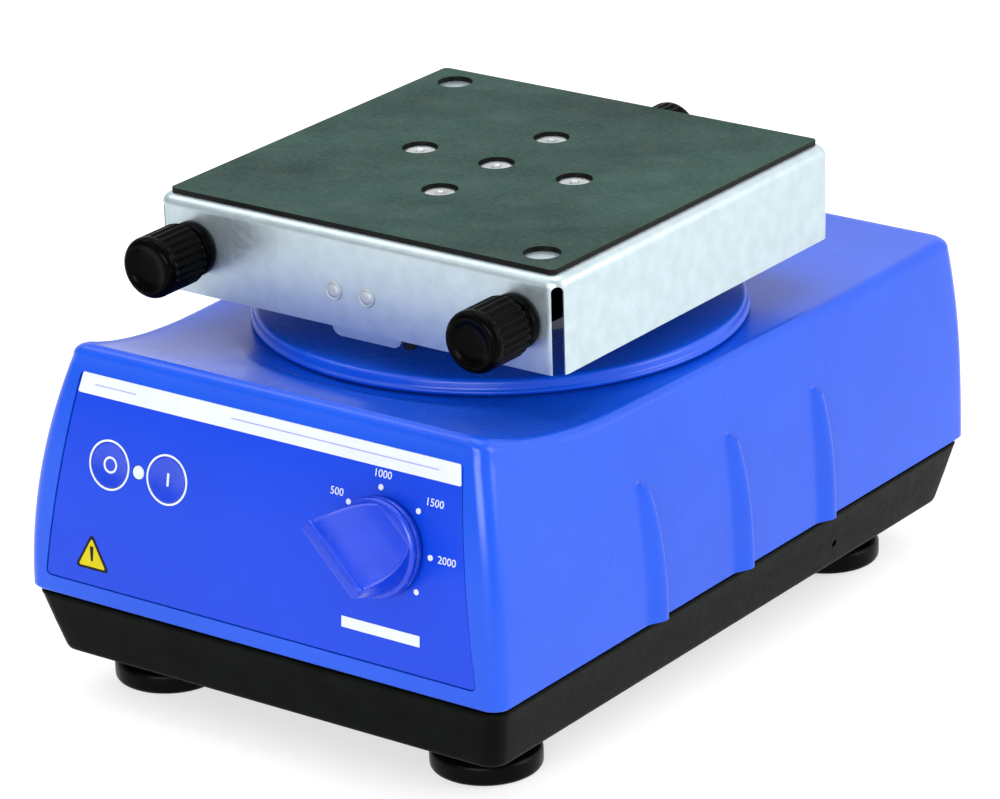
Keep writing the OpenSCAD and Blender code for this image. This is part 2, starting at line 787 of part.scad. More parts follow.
module idler_crank_a() {
    color(steel) in_frame() idler_crank(0);
}

module idler_crank_b() {
    color(steel) in_frame() idler_crank(1);
}

module idler_crank_c() {
    color(steel) in_frame() idler_crank(2);
}

// ---------- shaking table ----------

module table_casting() {
    boss_r = 9.5;
    seat_r = 38;
    pocket_top = casting_top - 2;
    hole_r = tray_screw_r + gap;
    color(aluminium) in_frame() translate([0, table_y, 0]) difference() {
        union() {
            rod(50, casting_plate_z, casting_top);
            rod(21, casting_z, casting_plate_z + 1);
            at_each(idler_at) rod(boss_r, casting_z, casting_plate_z + 1);
            rod(seat_r, casting_top - 1, disc_top - disc_plate);
            rod(drum_r, casting_top, drum_top);
        }
        rod(table_bore_r, casting_z - cut, pocket_top);
        rod(9, pocket_top - cut, casting_top + cut);
        rod(drum_r - 4, casting_top, drum_top - 6);
        at_each(idler_at) rod(bush_bore_r, casting_z - cut, pocket_top);
        at_each(tray_screw_at) rod(hole_r, drum_top - 7, drum_top + cut);
    }
}

module table_bearing() {
    color(steel) in_frame() translate([0, table_y, 0])
        tube(table_bore_r - gap, journal_r + gap, casting_z, casting_top - 2.5);
}

module idler_bushes() {
    color(brass) in_frame() translate([0, table_y, 0]) at_each(idler_at)
        tube(bush_bore_r - gap, crank_pin_r + gap, casting_z, casting_top - 2.2);
}

module splash_disc() {
    rim = 2.2;
    color(blue) in_frame() translate([0, table_y, 0]) rotate_extrude($fn = 128) polygon([
        [drum_r + 0.1, disc_top - disc_plate], [disc_r - rim, disc_top - disc_plate],
        [disc_r - rim, disc_z], [disc_r - 0.8, disc_z], [disc_r - 0.2, disc_z + 0.3],
        [disc_r, disc_z + 0.9], [disc_r - 1.2, disc_top - 1.4], [disc_r - 1.6, disc_top - 0.5],
        [disc_r - 2.4, disc_top], [drum_r + 0.1, disc_top]]);
}

// a skirt with its bend, along X, its outer face on y = 0 and its upper face on z = 0
module skirt(length) {
    translate([-length / 2, 0, 0]) rotate([90, 0, 90]) linear_extrude(length) union() {
        translate([bend_r - 0.01, -sheet]) square([3, sheet]);
        translate([0, -skirt_h]) square([sheet, skirt_h - bend_r + 0.01]);
        intersection() {
            translate([bend_r, -bend_r]) difference() {
                circle(bend_r);
                circle(bend_r - sheet);
            }
            translate([0, -bend_r]) square(bend_r);
        }
    }
}

module tray() {
    color(aluminium) in_frame() translate([0, table_y, tray_z]) difference() {
        union() {
            translate([-tray_w / 2 + bend_r, -tray_d / 2 + bend_r, -sheet])
                cube([tray_w - 2 * bend_r, tray_d - 2 * bend_r, sheet]);
            for (a = [0, 180]) rotate([0, 0, a]) {
                translate([0, -tray_d / 2, 0]) skirt(tray_w - 2 * corner_slit);
                rotate([0, 0, 90]) translate([0, -tray_w / 2, 0]) skirt(tray_d - 2 * corner_slit);
            }
        }
        at_each(tray_screw_at) rod(tray_screw_r + 0.35, -sheet - cut, cut);
        translate([0, 0, knob_z - tray_z]) rotate([90, 0, 0]) {
            for (x = [-knob_x, knob_x])
                translate([x, 0, 0]) rod(clamp_screw_r + 0.3, tray_d / 2 - 5, tray_d / 2 + 5);
            rod(clamp_screw_r + 0.3, -tray_d / 2 - 5, -tray_d / 2 + 5);
        }
        for (x = rivets_x) translate([x, 0, rivet_z - tray_z]) rotate([90, 0, 0])
            rod(rivet_hole_r, tray_d / 2 - 5, tray_d / 2 + 5);
    }
}

module tray_mat() {
    color([0.30, 0.34, 0.31]) in_frame() translate([0, table_y, tray_z]) difference() {
        linear_extrude(mat_h) union() {
            square([mat_w - 3, mat_d], center = true);
            square([mat_w, mat_d - 3], center = true);
            for (x = [-1, 1], y = [-1, 1])
                translate([x * (mat_w / 2 - 1.5), y * (mat_d / 2 - 1.5)]) circle(1.5);
        }
        at_each(tray_screw_at) rod(mat_hole_r, -cut, mat_h + cut);
        for (s = [-1, 1]) translate([-s * corner_hole, s * corner_hole, 0])
            rod(mat_hole_r, -cut, mat_h + cut);
    }
}

module tray_screws() {
    color(steel) in_frame() translate([0, table_y, tray_z])
        at_each(tray_screw_at) pan_screw(tray_screw_r, 7.2, 4.3, 1.1);
}

// small plate riveted behind the front skirt, its rounded lower edge showing below it
module skirt_plate() {
    plate_w = plate_x[1] - plate_x[0];
    color(aluminium) in_frame() translate([0, tray_front_y + sheet + plate_t, 0]) rotate([90, 0, 0])
        difference() {
            linear_extrude(plate_t) union() {
                translate([plate_x[0], plate_z[0] + plate_corner])
                    square([plate_w, plate_z[1] - plate_z[0] - plate_corner]);
                translate([plate_x[0] + plate_corner, plate_z[0]])
                    square([plate_w - 2 * plate_corner, plate_corner + 1]);
                for (x = [plate_x[0] + plate_corner, plate_x[1] - plate_corner])
                    translate([x, plate_z[0] + plate_corner]) circle(plate_corner);
            }
            for (x = rivets_x) translate([x, rivet_z, 0]) rod(rivet_hole_r, -cut, plate_t + cut);
        }
}

module skirt_rivets() {
    grip = sheet + plate_t;
    color(steel) in_frame() for (x = rivets_x) translate([x, tray_front_y, rivet_z]) rotate([90, 0, 0])
        rotate_extrude() polygon([
            [0, -grip - 0.8], [1.9, -grip - 0.8], [2.1, -grip], [1.4, -grip], [1.4, 0],
            [1.9, 0], [1.8, 0.35], [1.3, 0.7], [0, 0.8]]);
}

// ---------- clamp knobs ----------

// places its child at a knob's axis, with +Z out of the skirt
module at_knob(i) {
    x = [-knob_x, knob_x, 0][i];
    y = i < 2 ? tray_front_y : tray_rear_y;
    translate([x, y, knob_z]) rotate([i < 2 ? 90 : -90, 0, 0]) children();
}

module skirt_nuts() {
    color(steel) in_frame() for (i = [0:2]) at_knob(i) tube(5.2, clamp_screw_r + gap, -6.5, -sheet);
}

// fluted knob moulded round its screw
module clamp_knob(i) {
    flutes = 24;
    at_knob(i) difference() {
        union() {
            rotate_extrude() polygon([
                [0, 0.4], [7, 0.4], [7.4, 0.8], [7.4, 3.4], [6.2, 4.2], [6.2, 5],
                [grip_r, 6], [grip_r, knob_reach - 2.2], [grip_r - 0.6, knob_reach - 0.8],
                [grip_r - 1.8, knob_reach], [grip_r - 2.8, knob_reach - 0.2], [0, knob_reach - 1.2]]);
            rod(clamp_screw_r, -screw_end, 1);
        }
        for (k = [0:flutes - 1]) rotate([0, 0, 360 * k / flutes]) translate([grip_r + 0.25, 0, 0])
            rod(0.6, 5.6, knob_reach - 2.6);
    }
}

module clamp_knob_left() {
    color(black) in_frame() clamp_knob(0);
}

module clamp_knob_right() {
    color(black) in_frame() clamp_knob(1);
}

module clamp_knob_rear() {
    color(black) in_frame() clamp_knob(2);
}

// swivel pad on the screw's inner end: it travels with the screw and doesn't turn
module clamp_pad(i) {
    at_knob(i) difference() {
        rod(4.6, -screw_end - 2, -screw_end + 2.6);
        rod(clamp_screw_r + gap, -screw_end - gap, -screw_end + 3);
    }
}

module clamp_pad_left() {
    color(black) in_frame() clamp_pad(0);
}

module clamp_pad_right() {
    color(black) in_frame() clamp_pad(1);
}

module clamp_pad_rear() {
    color(black) in_frame() clamp_pad(2);
}

base_tub();
rubber_feet();
foot_screws();
upper_housing();
housing_screws();
front_panel();
stripe_label();
panel_print();
caution_mark();
status_led();
button_off();
button_on();
switch_block();
control_board();
board_spacers();
speed_pot();
pot_nut();
pot_shaft();
speed_dial();
mains_inlet();
inlet_pins();
inlet_screws();
power_board();
board_posts();
transformer_core();
transformer_coil();
capacitors();
heat_sink();
chassis_plate();
chassis_posts();
chassis_screws();
idler_bearings();
motor_can();
motor_stator();
motor_bearings();
motor_screws();
drive_shaft();
motor_rotor();
eccentric_hub();
counterweight();
hub_screw();
idler_crank_a();
idler_crank_b();
idler_crank_c();
table_casting();
table_bearing();
idler_bushes();
splash_disc();
tray();
tray_mat();
tray_screws();
skirt_plate();
skirt_rivets();
skirt_nuts();
clamp_knob_left();
clamp_knob_right();
clamp_knob_rear();
clamp_pad_left();
clamp_pad_right();
clamp_pad_rear();
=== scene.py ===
"""The looks of a small orbital vortex shaker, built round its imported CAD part.

Lengths are in millimetres until a mesh is made. Points are given about the middle of the housing
on the bench, and TO_FRAME carries them to the frame's own origin, in metres.
"""

import json
import math

import bmesh
import bpy
import numpy as np
from mathutils import Matrix, Vector


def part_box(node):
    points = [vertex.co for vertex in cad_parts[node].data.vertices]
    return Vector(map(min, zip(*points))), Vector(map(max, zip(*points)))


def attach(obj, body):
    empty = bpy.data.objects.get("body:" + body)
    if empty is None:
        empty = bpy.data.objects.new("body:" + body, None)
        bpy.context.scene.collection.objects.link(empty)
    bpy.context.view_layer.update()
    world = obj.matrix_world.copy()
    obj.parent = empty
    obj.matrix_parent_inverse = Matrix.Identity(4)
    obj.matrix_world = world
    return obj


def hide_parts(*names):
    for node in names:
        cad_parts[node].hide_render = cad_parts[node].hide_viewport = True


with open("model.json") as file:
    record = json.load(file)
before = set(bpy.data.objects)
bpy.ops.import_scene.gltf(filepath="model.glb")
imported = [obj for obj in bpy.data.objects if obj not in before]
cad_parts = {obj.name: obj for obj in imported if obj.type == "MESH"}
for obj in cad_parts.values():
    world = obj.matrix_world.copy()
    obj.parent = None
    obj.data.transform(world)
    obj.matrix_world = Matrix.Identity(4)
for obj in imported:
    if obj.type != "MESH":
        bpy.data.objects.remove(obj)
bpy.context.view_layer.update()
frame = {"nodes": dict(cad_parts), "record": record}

MM = 0.001
housing_low, housing_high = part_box("upper_housing")
FRAME_Y = (housing_low.y + housing_high.y) / 2 / MM
TO_FRAME = Matrix.Scale(MM, 4) @ Matrix.Translation((0, FRAME_Y, 0))

# the housing, as the CAD part has it
HALF_W = 78.5
HALF_D = 114.3
BODY_Z = 30.6
DECK_Z = 90.0
LIP_RISE = 8.7
CURVE_R = 211.0
WALL = 2.5
EDGE_R = 3.2
CORNER_R = 5.0
DRIVE_Y = -0.5
TABLE_Y = -2.5
OPENING_R = 56.0
DISH_R = 71.7
DISH_BLEND = 8.0
RAMP_Y = -50.0
FRONT_TOP_Y = -103.0
TAIL_Y = 65.0
SIDE_FRONT_K = 1 / 416
SIDE_BACK_K = 0.001
SIDE_BEND_Y = -75.0
SIDE_BEND_SPAN = 187.0
SIDE_BEND_POWER = 1.7
BACK_BEND_Z = 55.0
BACK_LEAN = 2.9
STRAIGHT_Y = 55.0
FOOT_H = 11.4
TUB_INSET = 5.4
TUB_TOP = BODY_Z - 0.7
LIP_TOP = BODY_Z + 2.4
POSTS = [(x, y) for x in (-64, 64) for y in (-58, 58)]
FEET = [(x, y) for x in (-53.3, 53.3) for y in (-86.4, 78.5)]

# the gills on the housing's sides
GILLS = (-48.0, -7.0, 34.0)
GILL_WIDE = 6.0
GILL_BACK = 2.0
GILL_PROUD = 2.4
GILL_TIP = 1.5
GILL_APEX_Z = 69.8
GILL_END = 3.0
GILL_REACH = 12.0
GILL_FADE = 12.0

# the front panel
PANEL_LOW = 35.4
PANEL_HIGH = 92.6
PANEL_LOW_W = 71.5
PANEL_HIGH_W = 62.7
BUTTONS_X = (-50.1, -30.5)
BUTTON_Z = 70.1
BUTTON_R = 6.2
LED_X = -40.3
DIAL_X = 40.7
DIAL_Z = 67.7
DIAL_HOLE_R = 4.3
DIAL_REST = 140.0

# depths of the printing below the front wall's surface
PRINT_TOP = 0.12
PRINT_BOTTOM = 0.25

# the table and the tray
DISC_R = 68.2
DISC_Z = 90.6
DISC_TOP = 95.0
TRAY_W = 132.0
TRAY_D = 129.0
TRAY_Z = 130.6
SKIRT_H = 26.5
SHEET = 1.5
BEND_R = 3.0
SLIT = 3.3
MAT_H = 1.4
HOLE_R = 5.0
PITCH = 25.7
CORNER_HOLE = 52.5
SCREWS_AT = [(0, 0), (PITCH, 0), (-PITCH, 0), (0, PITCH), (0, -PITCH)]
RIVETS_X = (-6.5, 4.3)
RIVET_Z = 114
RIVET_HOLE_R = 1.45
KNOB_Z = 117.5
KNOB_REACH = 21.0
GRIP_R = 8.5
KNOBS = {"left": (-53, -1), "right": (53, -1), "rear": (0, 1)}

# the floor's height in metres, a hair below the feet
FLOOR_Z = -0.0002


# ---------- curves of the housing ----------

def smooth(t):
    """Eases from 0 to 1 as t goes from 0 to 1."""
    t = np.clip(t, 0, 1)
    return t * t * (3 - 2 * t)


def mix(a, b, t):
    """The value that lies the fraction t of the way from a to b."""
    return a + (b - a) * t


def front_y(z):
    """Where the curved front wall stands at height z."""
    rise = np.maximum(z - BODY_Z, 0)
    return CURVE_R - np.sqrt(CURVE_R ** 2 - rise ** 2) - HALF_D


def back_y(z):
    """Where the back wall stands at height z."""
    return HALF_D - BACK_LEAN * (np.maximum(z - BACK_BEND_Z, 0) / (DECK_Z - BACK_BEND_Z)) ** 2


def width_at(y, z):
    """Half the housing's width: its sides draw in as they rise, and more so at the front."""
    u = np.clip((y - SIDE_BEND_Y) / SIDE_BEND_SPAN, 0, 1)
    k = SIDE_BACK_K + (SIDE_FRONT_K - SIDE_BACK_K) * (1 - u) ** SIDE_BEND_POWER
    return HALF_W - k * np.maximum(z - BODY_Z, 0) ** 2


def top_at(x, y):
    """Height of the deck: flat round the disc, with a ramp up to the front lip."""
    ramp = LIP_RISE * (np.maximum(RAMP_Y - y, 0) / (RAMP_Y - FRONT_TOP_Y)) ** 2
    tail = (np.maximum(y - TAIL_Y, 0) / (HALF_D - TAIL_Y)) ** 2
    return DECK_Z + tail + ramp * smooth((np.hypot(x, y - DRIVE_Y) - DISH_R) / DISH_BLEND)


def gill_crest(y0, z):
    """Where a gill's crest stands at height z: it draws in towards its upper end."""
    t = np.clip((z - BODY_Z) / (GILL_APEX_Z - BODY_Z), 0, 1)
    drawn = y0 + mix(GILL_WIDE, GILL_END, t ** 3)
    return mix(drawn, y0 + GILL_WIDE, smooth((z - GILL_APEX_Z) / GILL_FADE))


def slide_to_gills(y, z):
    """Moves the mesh lines beside a gill so that they run along its crest."""
    out = np.array(y, float)
    for y0 in GILLS:
        crest = gill_crest(y0, z)
        knots = [y0, y0 + GILL_WIDE, y0 + GILL_WIDE + GILL_BACK, y0 + GILL_REACH]
        for i in range(len(out)):
            if knots[0] < y[i] < knots[3]:
                places = [y0, crest[i], crest[i] + GILL_BACK, y0 + GILL_REACH]
                out[i] = np.interp(y[i], knots, places)
    return out


def gill_lift(y, z):
    """How far the side wall stands out at a gill."""
    bluntness = 0.05
    end_soft = 0.03
    lift = np.zeros(len(y))
    t = (z - BODY_Z) / (GILL_APEX_Z - BODY_Z)
    height = mix(GILL_PROUD, GILL_TIP, np.clip(t, 0, 1) ** 3)
    for y0 in GILLS:
        crest = gill_crest(y0, z)
        across = (y - y0) / (crest - y0)
        rounding = bluntness * np.clip(2 * across - 1, -1, 1) ** 2
        end = 1 - smooth((t - 1 + rounding) / end_soft)
        rise = np.sin(np.pi / 2 * np.clip(across, 0, 1)) ** 1.5
        fall = np.sqrt(1 - np.clip((y - crest) / GILL_BACK, 0, 1) ** 2)
        lift += height * end * np.where(y < crest, rise, fall)
    return lift


def long_side():
    """Places of the mesh lines along a side wall, closer together at the gills."""
    step = (-2, -0.8, 0, 1, 2.2, 3.4, 4.4, 5.1, 5.5, 5.8, 6, 6.2, 6.5, 6.8, 7.1, 7.5, 7.8, 8, 8.6, 10, 12)
    near = [y0 + s for y0 in GILLS for s in step]
    end = HALF_D - CORNER_R
    far = [y for y in np.linspace(-end, end, 46) if all(abs(y - y0 - 5) > 8.5 for y0 in GILLS)]
    return np.array(sorted(near + [y for y in far if abs(y) < end - 1]))


SIDE_LINES = long_side()
FRONT_LINES = 34


def outline(a, b, r, arc=8):
    """Points of a rounded rectangle, anticlockwise, with the mesh lines of its sides."""
    stations = SIDE_LINES * (b - r) / (HALF_D - CORNER_R)
    across = np.linspace(-(a - r), a - r, FRONT_LINES + 1)[1:-1]
    points = []
    for q, (sx, sy) in enumerate(((1, 1), (-1, 1), (-1, -1), (1, -1))):
        for i in range(arc + 1):
            t = math.radians(90 * q + 90 * i / arc)
            points.append((sx * (a - r) + r * math.cos(t), sy * (b - r) + r * math.sin(t)))
        if q == 0:
            points += [(x, b) for x in across[::-1]]
        if q == 1:
            points += [(-a, y) for y in stations[::-1]]
        if q == 2:
            points += [(x, -b) for x in across]
        if q == 3:
            points += [(a, y) for y in stations]
    return np.array(points)


def on_wall(p, z, gills=False):
    """Points of the bottom outline, carried up to the heights z on the curved walls."""
    scale = np.where(p[:, 1] < 0, -front_y(z) / HALF_D, back_y(z) / HALF_D)
    hold = smooth((np.abs(p[:, 1]) - STRAIGHT_Y) / (HALF_D - CORNER_R - STRAIGHT_Y))
    y = p[:, 1] * mix(1, scale, hold)
    if gills:
        y = slide_to_gills(y, z)
    x = p[:, 0] * width_at(y, z) / HALF_W
    if gills:
        x += np.sign(x) * gill_lift(y, z) * (np.abs(p[:, 0]) > HALF_W - 0.01)
    return x, y


def edge_top(p):
    """Height of the top edge above each point of the bottom outline."""
    x, y = on_wall(p, np.full(len(p), DECK_Z + LIP_RISE * 0.6))
    return top_at(x, y)


def wall_ring(inset, t, drop=0.0, gills=False):
    """A ring round the walls, the fraction t of the way up them."""
    p = outline(HALF_W - inset, HALF_D - inset, CORNER_R - inset / 2)
    z = mix(BODY_Z, edge_top(p) - EDGE_R - drop, t)
    x, y = on_wall(p, z, gills)
    return np.stack([x, y, z], 1)


def edge_ring(angle):
    """A ring on the rounded edge between the walls and the deck."""
    p = outline(HALF_W, HALF_D, CORNER_R)
    a = math.radians(angle)
    k = EDGE_R * (1 - math.cos(a))
    top = edge_top(p)
    x, y = on_wall(p * [1 - k / HALF_W, 1 - k / HALF_D], top - EDGE_R)
    return np.stack([x, y, top - EDGE_R * (1 - math.sin(a))], 1)


def top_ring(inset, t, drop=0.0):
    """A ring on the deck, the fraction t of the way in to its round opening."""
    p = outline(HALF_W - inset, HALF_D - inset, CORNER_R - inset / 2)
    x, y = on_wall(p, edge_top(p) - EDGE_R)
    a = np.arctan2(y - DRIVE_Y, x)
    x = mix(x, OPENING_R * np.cos(a), t)
    y = mix(y, DRIVE_Y + OPENING_R * np.sin(a), t)
    return np.stack([x, y, top_at(x, y) - drop], 1)


# ---------- meshes ----------

def loft(rings, cyclic=False):
    """A closed mesh through rings of equal length.
    Fans close its ends, or the last ring joins the first."""
    n = len(rings[0])
    m = len(rings)
    points = [tuple(p) for ring in rings for p in ring]
    faces = []
    for j in range(m if cyclic else m - 1):
        k = (j + 1) % m
        for i in range(n):
            h = (i + 1) % n
            faces.append((j * n + i, j * n + h, k * n + h, k * n + i))
    if not cyclic:
        points.append(tuple(np.mean(rings[0], 0)))
        points.append(tuple(np.mean(rings[-1], 0)))
        faces += [((i + 1) % n, i, m * n) for i in range(n)]
        faces += [((m - 1) * n + i, (m - 1) * n + (i + 1) % n, m * n + 1) for i in range(n)]
    return points, faces


def turned(profile, segments=96, shape=None):
    """A lathe form round +Z from (radius, height) pairs, from one end of its axis to the other.
    shape(angles, radius, height) may change the radii of a ring."""
    angles = np.linspace(0, 2 * math.pi, segments, endpoint=False)
    rings = []
    for r, z in profile:
        radii = np.full(segments, float(r)) if shape is None else shape(angles, r, z)
        x = radii * np.cos(angles)
        y = radii * np.sin(angles)
        rings.append(np.stack([x, y, np.full(segments, z)], 1))
    return loft(rings)


def rounded(points, r, steps=6):
    """A polygon's points with each corner rounded to radius r."""
    out = []
    n = len(points)
    for i in range(n):
        before, here, after = (Vector(points[(i + k - 1) % n]) for k in range(3))
        a = (before - here).normalized()
        b = (after - here).normalized()
        half = a.angle(b) / 2
        reach = r / math.tan(half)
        centre = here + (a + b).normalized() * (r / math.sin(half))
        start = here + a * reach - centre
        end = here + b * reach - centre
        turn = start.angle_signed(end) * -1
        for k in range(steps + 1):
            t = turn * k / steps
            x = start.x * math.cos(t) - start.y * math.sin(t)
            y = start.x * math.sin(t) + start.y * math.cos(t)
            out.append((centre.x + x, centre.y + y))
    return out


def ring_loop(r, x=0.0, y=0.0, n=64):
    """Points of a circle."""
    turns = np.linspace(0, 2 * math.pi, n, endpoint=False)
    return [(x + r * math.cos(t), y + r * math.sin(t)) for t in turns]


def filled(loops, levels=()):
    """A flat mesh inside the first loop and outside the others, cut along lines at those heights."""
    bm = bmesh.new()
    edges = []
    for loop in loops:
        verts = [bm.verts.new((x, y, 0)) for x, y in loop]
        edges += [bm.edges.new((verts[i], verts[(i + 1) % len(verts)])) for i in range(len(verts))]
    bmesh.ops.triangle_fill(bm, use_beauty=True, use_dissolve=False, edges=edges, normal=(0, 0, 1))
    for level in levels:
        bmesh.ops.bisect_plane(bm, geom=bm.verts[:] + bm.edges[:] + bm.faces[:], dist=1e-5,
                               plane_co=(0, level, 0), plane_no=(0, 1, 0))
    return bm


def raised(bm, place, shallow, deep):
    """Closes a flat mesh into a thin solid. place(u, v, depth) says where each point goes."""
    bm.verts.index_update()
    flat = [(v.co.x, v.co.y) for v in bm.verts]
    n = len(flat)
    points = [place(u, v, shallow) for u, v in flat] + [place(u, v, deep) for u, v in flat]
    faces = []
    for f in bm.faces:
        ids = [v.index for v in f.verts]
        if f.normal.z < 0:
            ids.reverse()
        faces.append(tuple(ids))
        faces.append(tuple(n + i for i in reversed(ids)))
    for e in bm.edges:
        if len(e.link_faces) == 1:
            a, b = (v.index for v in e.verts)
            faces.append((a, b, n + b, n + a))
    bm.free()
    return points, faces


def moved(form, matrix):
    """A form carried by a matrix."""
    points, faces = form
    return [tuple(matrix @ Vector(p)) for p in points], faces


def joined(forms):
    """Several forms as one."""
    points = []
    faces = []
    for p, f in forms:
        faces += [tuple(i + len(points) for i in face) for face in f]
        points += list(p)
    return points, faces


def block(low, high):
    """A box between two corners."""
    x0, y0, z0 = low
    x1, y1, z1 = high
    ring = [(x0, y0), (x1, y0), (x1, y1), (x0, y1)]
    return loft([np.array([(x, y, z) for x, y in ring]) for z in (z0, z1)])


def rod(r, z0, z1, segments=48):
    """A round bar along +Z."""
    return turned([(r, z0), (r, z1)], segments)


def make(name, form, sharp=35.0):
    """A mesh object from a form, smooth except where its faces meet at more than sharp degrees."""
    points, faces = form
    mesh = bpy.data.meshes.new(name)
    mesh.from_pydata([tuple(TO_FRAME @ Vector(p)) for p in points], [], faces)
    bm = bmesh.new()
    bm.from_mesh(mesh)
    bmesh.ops.remove_doubles(bm, verts=bm.verts, dist=1e-7)
    bmesh.ops.recalc_face_normals(bm, faces=bm.faces)
    bm.to_mesh(mesh)
    bm.free()
    obj = bpy.data.objects.new(name, mesh)
    bpy.context.scene.collection.objects.link(obj)
    soften(obj, sharp)
    return obj


def soften(obj, sharp=35.0):
    """Smooth shading, except where faces meet at more than sharp degrees."""
    obj.data.shade_smooth()
    obj.data.set_sharp_from_angle(angle=math.radians(sharp))


def bake(obj):
    """Applies an object's modifiers to its mesh."""
    depsgraph = bpy.context.evaluated_depsgraph_get()
    mesh = bpy.data.meshes.new_from_object(obj.evaluated_get(depsgraph))
    obj.modifiers.clear()
    obj.data = mesh


def carve(obj, form):
    """Cuts a form out of a piece."""
    tool = make("cutter", form)
    cut = obj.modifiers.new("cut", "BOOLEAN")
    cut.operation = "DIFFERENCE"
    cut.solver = "EXACT"
    cut.object = tool
    bake(obj)
    bpy.data.objects.remove(tool)
    soften(obj)


def round_edges(obj, width, segments=2, angle=35.0):
    """A small bevel on every sharp edge."""
    bevel = obj.modifiers.new("edges", "BEVEL")
    bevel.width = width * MM
    bevel.segments = segments
    bevel.limit_method = "ANGLE"
    bevel.angle_limit = math.radians(angle)
    bevel.harden_normals = True


def place_piece(obj, body, slot, material, *nodes):
    """Gives a piece its material and its body, and hides the CAD nodes it stands for; slot is not used."""
    obj.data.materials.clear()
    obj.data.materials.append(material)
    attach(obj, body)
    if nodes:
        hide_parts(*nodes)


def front_frame(x, z):
    """The matrix of the front wall at (x, z): +Z looks straight out of the panel."""
    tilt = math.asin((z - BODY_Z) / CURVE_R)
    turn = Matrix.Rotation(math.pi / 2 - tilt, 4, "X")
    return Matrix.Translation((x, float(front_y(z)), z)) @ turn


def knob_frame(which):
    """The matrix of a clamp knob: +Z looks out of the tray's skirt."""
    x, side = KNOBS[which]
    turn = Matrix.Rotation(-side * math.pi / 2, 4, "X")
    return Matrix.Translation((x, TABLE_Y + side * TRAY_D / 2, KNOB_Z)) @ turn


def rivet_frame(x):
    """The matrix of a rivet in the tray's front skirt: +Z looks out of the skirt."""
    return Matrix.Translation((x, TABLE_Y - TRAY_D / 2, RIVET_Z)) @ Matrix.Rotation(math.pi / 2, 4, "X")


def up_front(z):
    """Length of the front wall's curve from the housing's bottom edge up to z."""
    return CURVE_R * math.asin((z - BODY_Z) / CURVE_R)


def on_panel(u, v, depth):
    """The point at u across and v up the front wall's curve, that deep below its surface."""
    a = v / CURVE_R
    r = CURVE_R - depth
    return (u, CURVE_R - HALF_D - r * math.cos(a), BODY_Z + r * math.sin(a))


def panel_sheet(name, loops, shallow, deep, levels=()):
    """A thin plate that follows the front wall's curve."""
    return make(name, raised(filled(loops, levels), on_panel, shallow, deep))


# ---------- materials ----------

def linear(colour):
    """A hexadecimal colour as linear RGBA."""
    parts = [int(colour[i:i + 2], 16) / 255 for i in (0, 2, 4)]
    return [p / 12.92 if p <= 0.04045 else ((p + 0.055) / 1.055) ** 2.4 for p in parts] + [1]


class Finish:
    """A node material, with noise in its colour, roughness and surface."""

    def __init__(self, name, rough, metal=0.0, gloss=0.5):
        self.material = bpy.data.materials.new(name)
        self.material.use_nodes = True
        self.tree = self.material.node_tree
        self.shader = self.tree.nodes["Principled BSDF"]
        self.shader.inputs["Roughness"].default_value = rough
        self.shader.inputs["Metallic"].default_value = metal
        self.shader.inputs["Specular IOR Level"].default_value = gloss
        self.place = self.tree.nodes.new("ShaderNodeTexCoord").outputs["Object"]
        self.rough = rough

    def node(self, kind, **values):
        """Adds a node and sets its values."""
        n = self.tree.nodes.new(kind)
        for key, value in values.items():
            setattr(n, key, value)
        return n

    def noise(self, size, detail, stretch=(1, 1, 1), turn=0.0):
        """Noise with features about size millimetres long, stretched and turned about +Z."""
        mapping = self.node("ShaderNodeMapping", vector_type="TEXTURE")
        mapping.inputs["Scale"].default_value = [1 / k for k in stretch]
        mapping.inputs["Rotation"].default_value = (0, 0, math.radians(turn))
        self.tree.links.new(self.place, mapping.inputs["Vector"])
        n = self.node("ShaderNodeTexNoise")
        n.inputs["Scale"].default_value = 1 / (size * MM)
        n.inputs["Detail"].default_value = detail
        self.tree.links.new(mapping.outputs["Vector"], n.inputs["Vector"])
        return n.outputs["Fac"]

    def ranged(self, fac, low, high):
        """Carries the middle of a noise's range to low..high."""
        n = self.node("ShaderNodeMapRange")
        ends = {"From Min": 0.3, "From Max": 0.7, "To Min": low, "To Max": high}
        for key, value in ends.items():
            n.inputs[key].default_value = value
        self.tree.links.new(fac, n.inputs["Value"])
        return n.outputs["Result"]

    def colour(self, first, second, fac):
        """A colour that wanders between two, as fac does."""
        ramp = self.node("ShaderNodeValToRGB")
        ramp.color_ramp.elements[0].position = 0.35
        ramp.color_ramp.elements[1].position = 0.65
        ramp.color_ramp.elements[0].color = linear(first)
        ramp.color_ramp.elements[1].color = linear(second)
        self.tree.links.new(fac, ramp.inputs["Fac"])
        self.tree.links.new(ramp.outputs["Color"], self.shader.inputs["Base Color"])

    def uneven(self, fac, spread):
        """Roughness that wanders by spread about its middle value."""
        value = self.ranged(fac, self.rough - spread, self.rough + spread)
        self.tree.links.new(value, self.shader.inputs["Roughness"])

    def bump(self, fac, depth):
        """A surface bump depth millimetres high."""
        n = self.node("ShaderNodeBump")
        n.inputs["Strength"].default_value = 1.0
        n.inputs["Distance"].default_value = depth * MM
        self.tree.links.new(fac, n.inputs["Height"])
        self.tree.links.new(n.outputs["Normal"], self.shader.inputs["Normal"])


def paint(name, dark, light, rough, peel, gloss):
    """Baked enamel: faint orange peel and a colour that wanders a little."""
    f = Finish(name, rough, gloss=gloss)
    f.colour(dark, light, f.noise(30, 2))
    f.uneven(f.noise(14, 1), 0.012)
    f.bump(f.noise(2.6, 1), peel)
    return f.material


def moulded(name, dark, light, rough, grain, depth, gloss=0.4):
    """Moulded plastic or rubber with a fine grain."""
    f = Finish(name, rough, gloss=gloss)
    f.colour(dark, light, f.noise(9, 3))
    f.uneven(f.noise(3, 3), 0.05)
    f.bump(f.noise(grain, 3), depth)
    return f.material


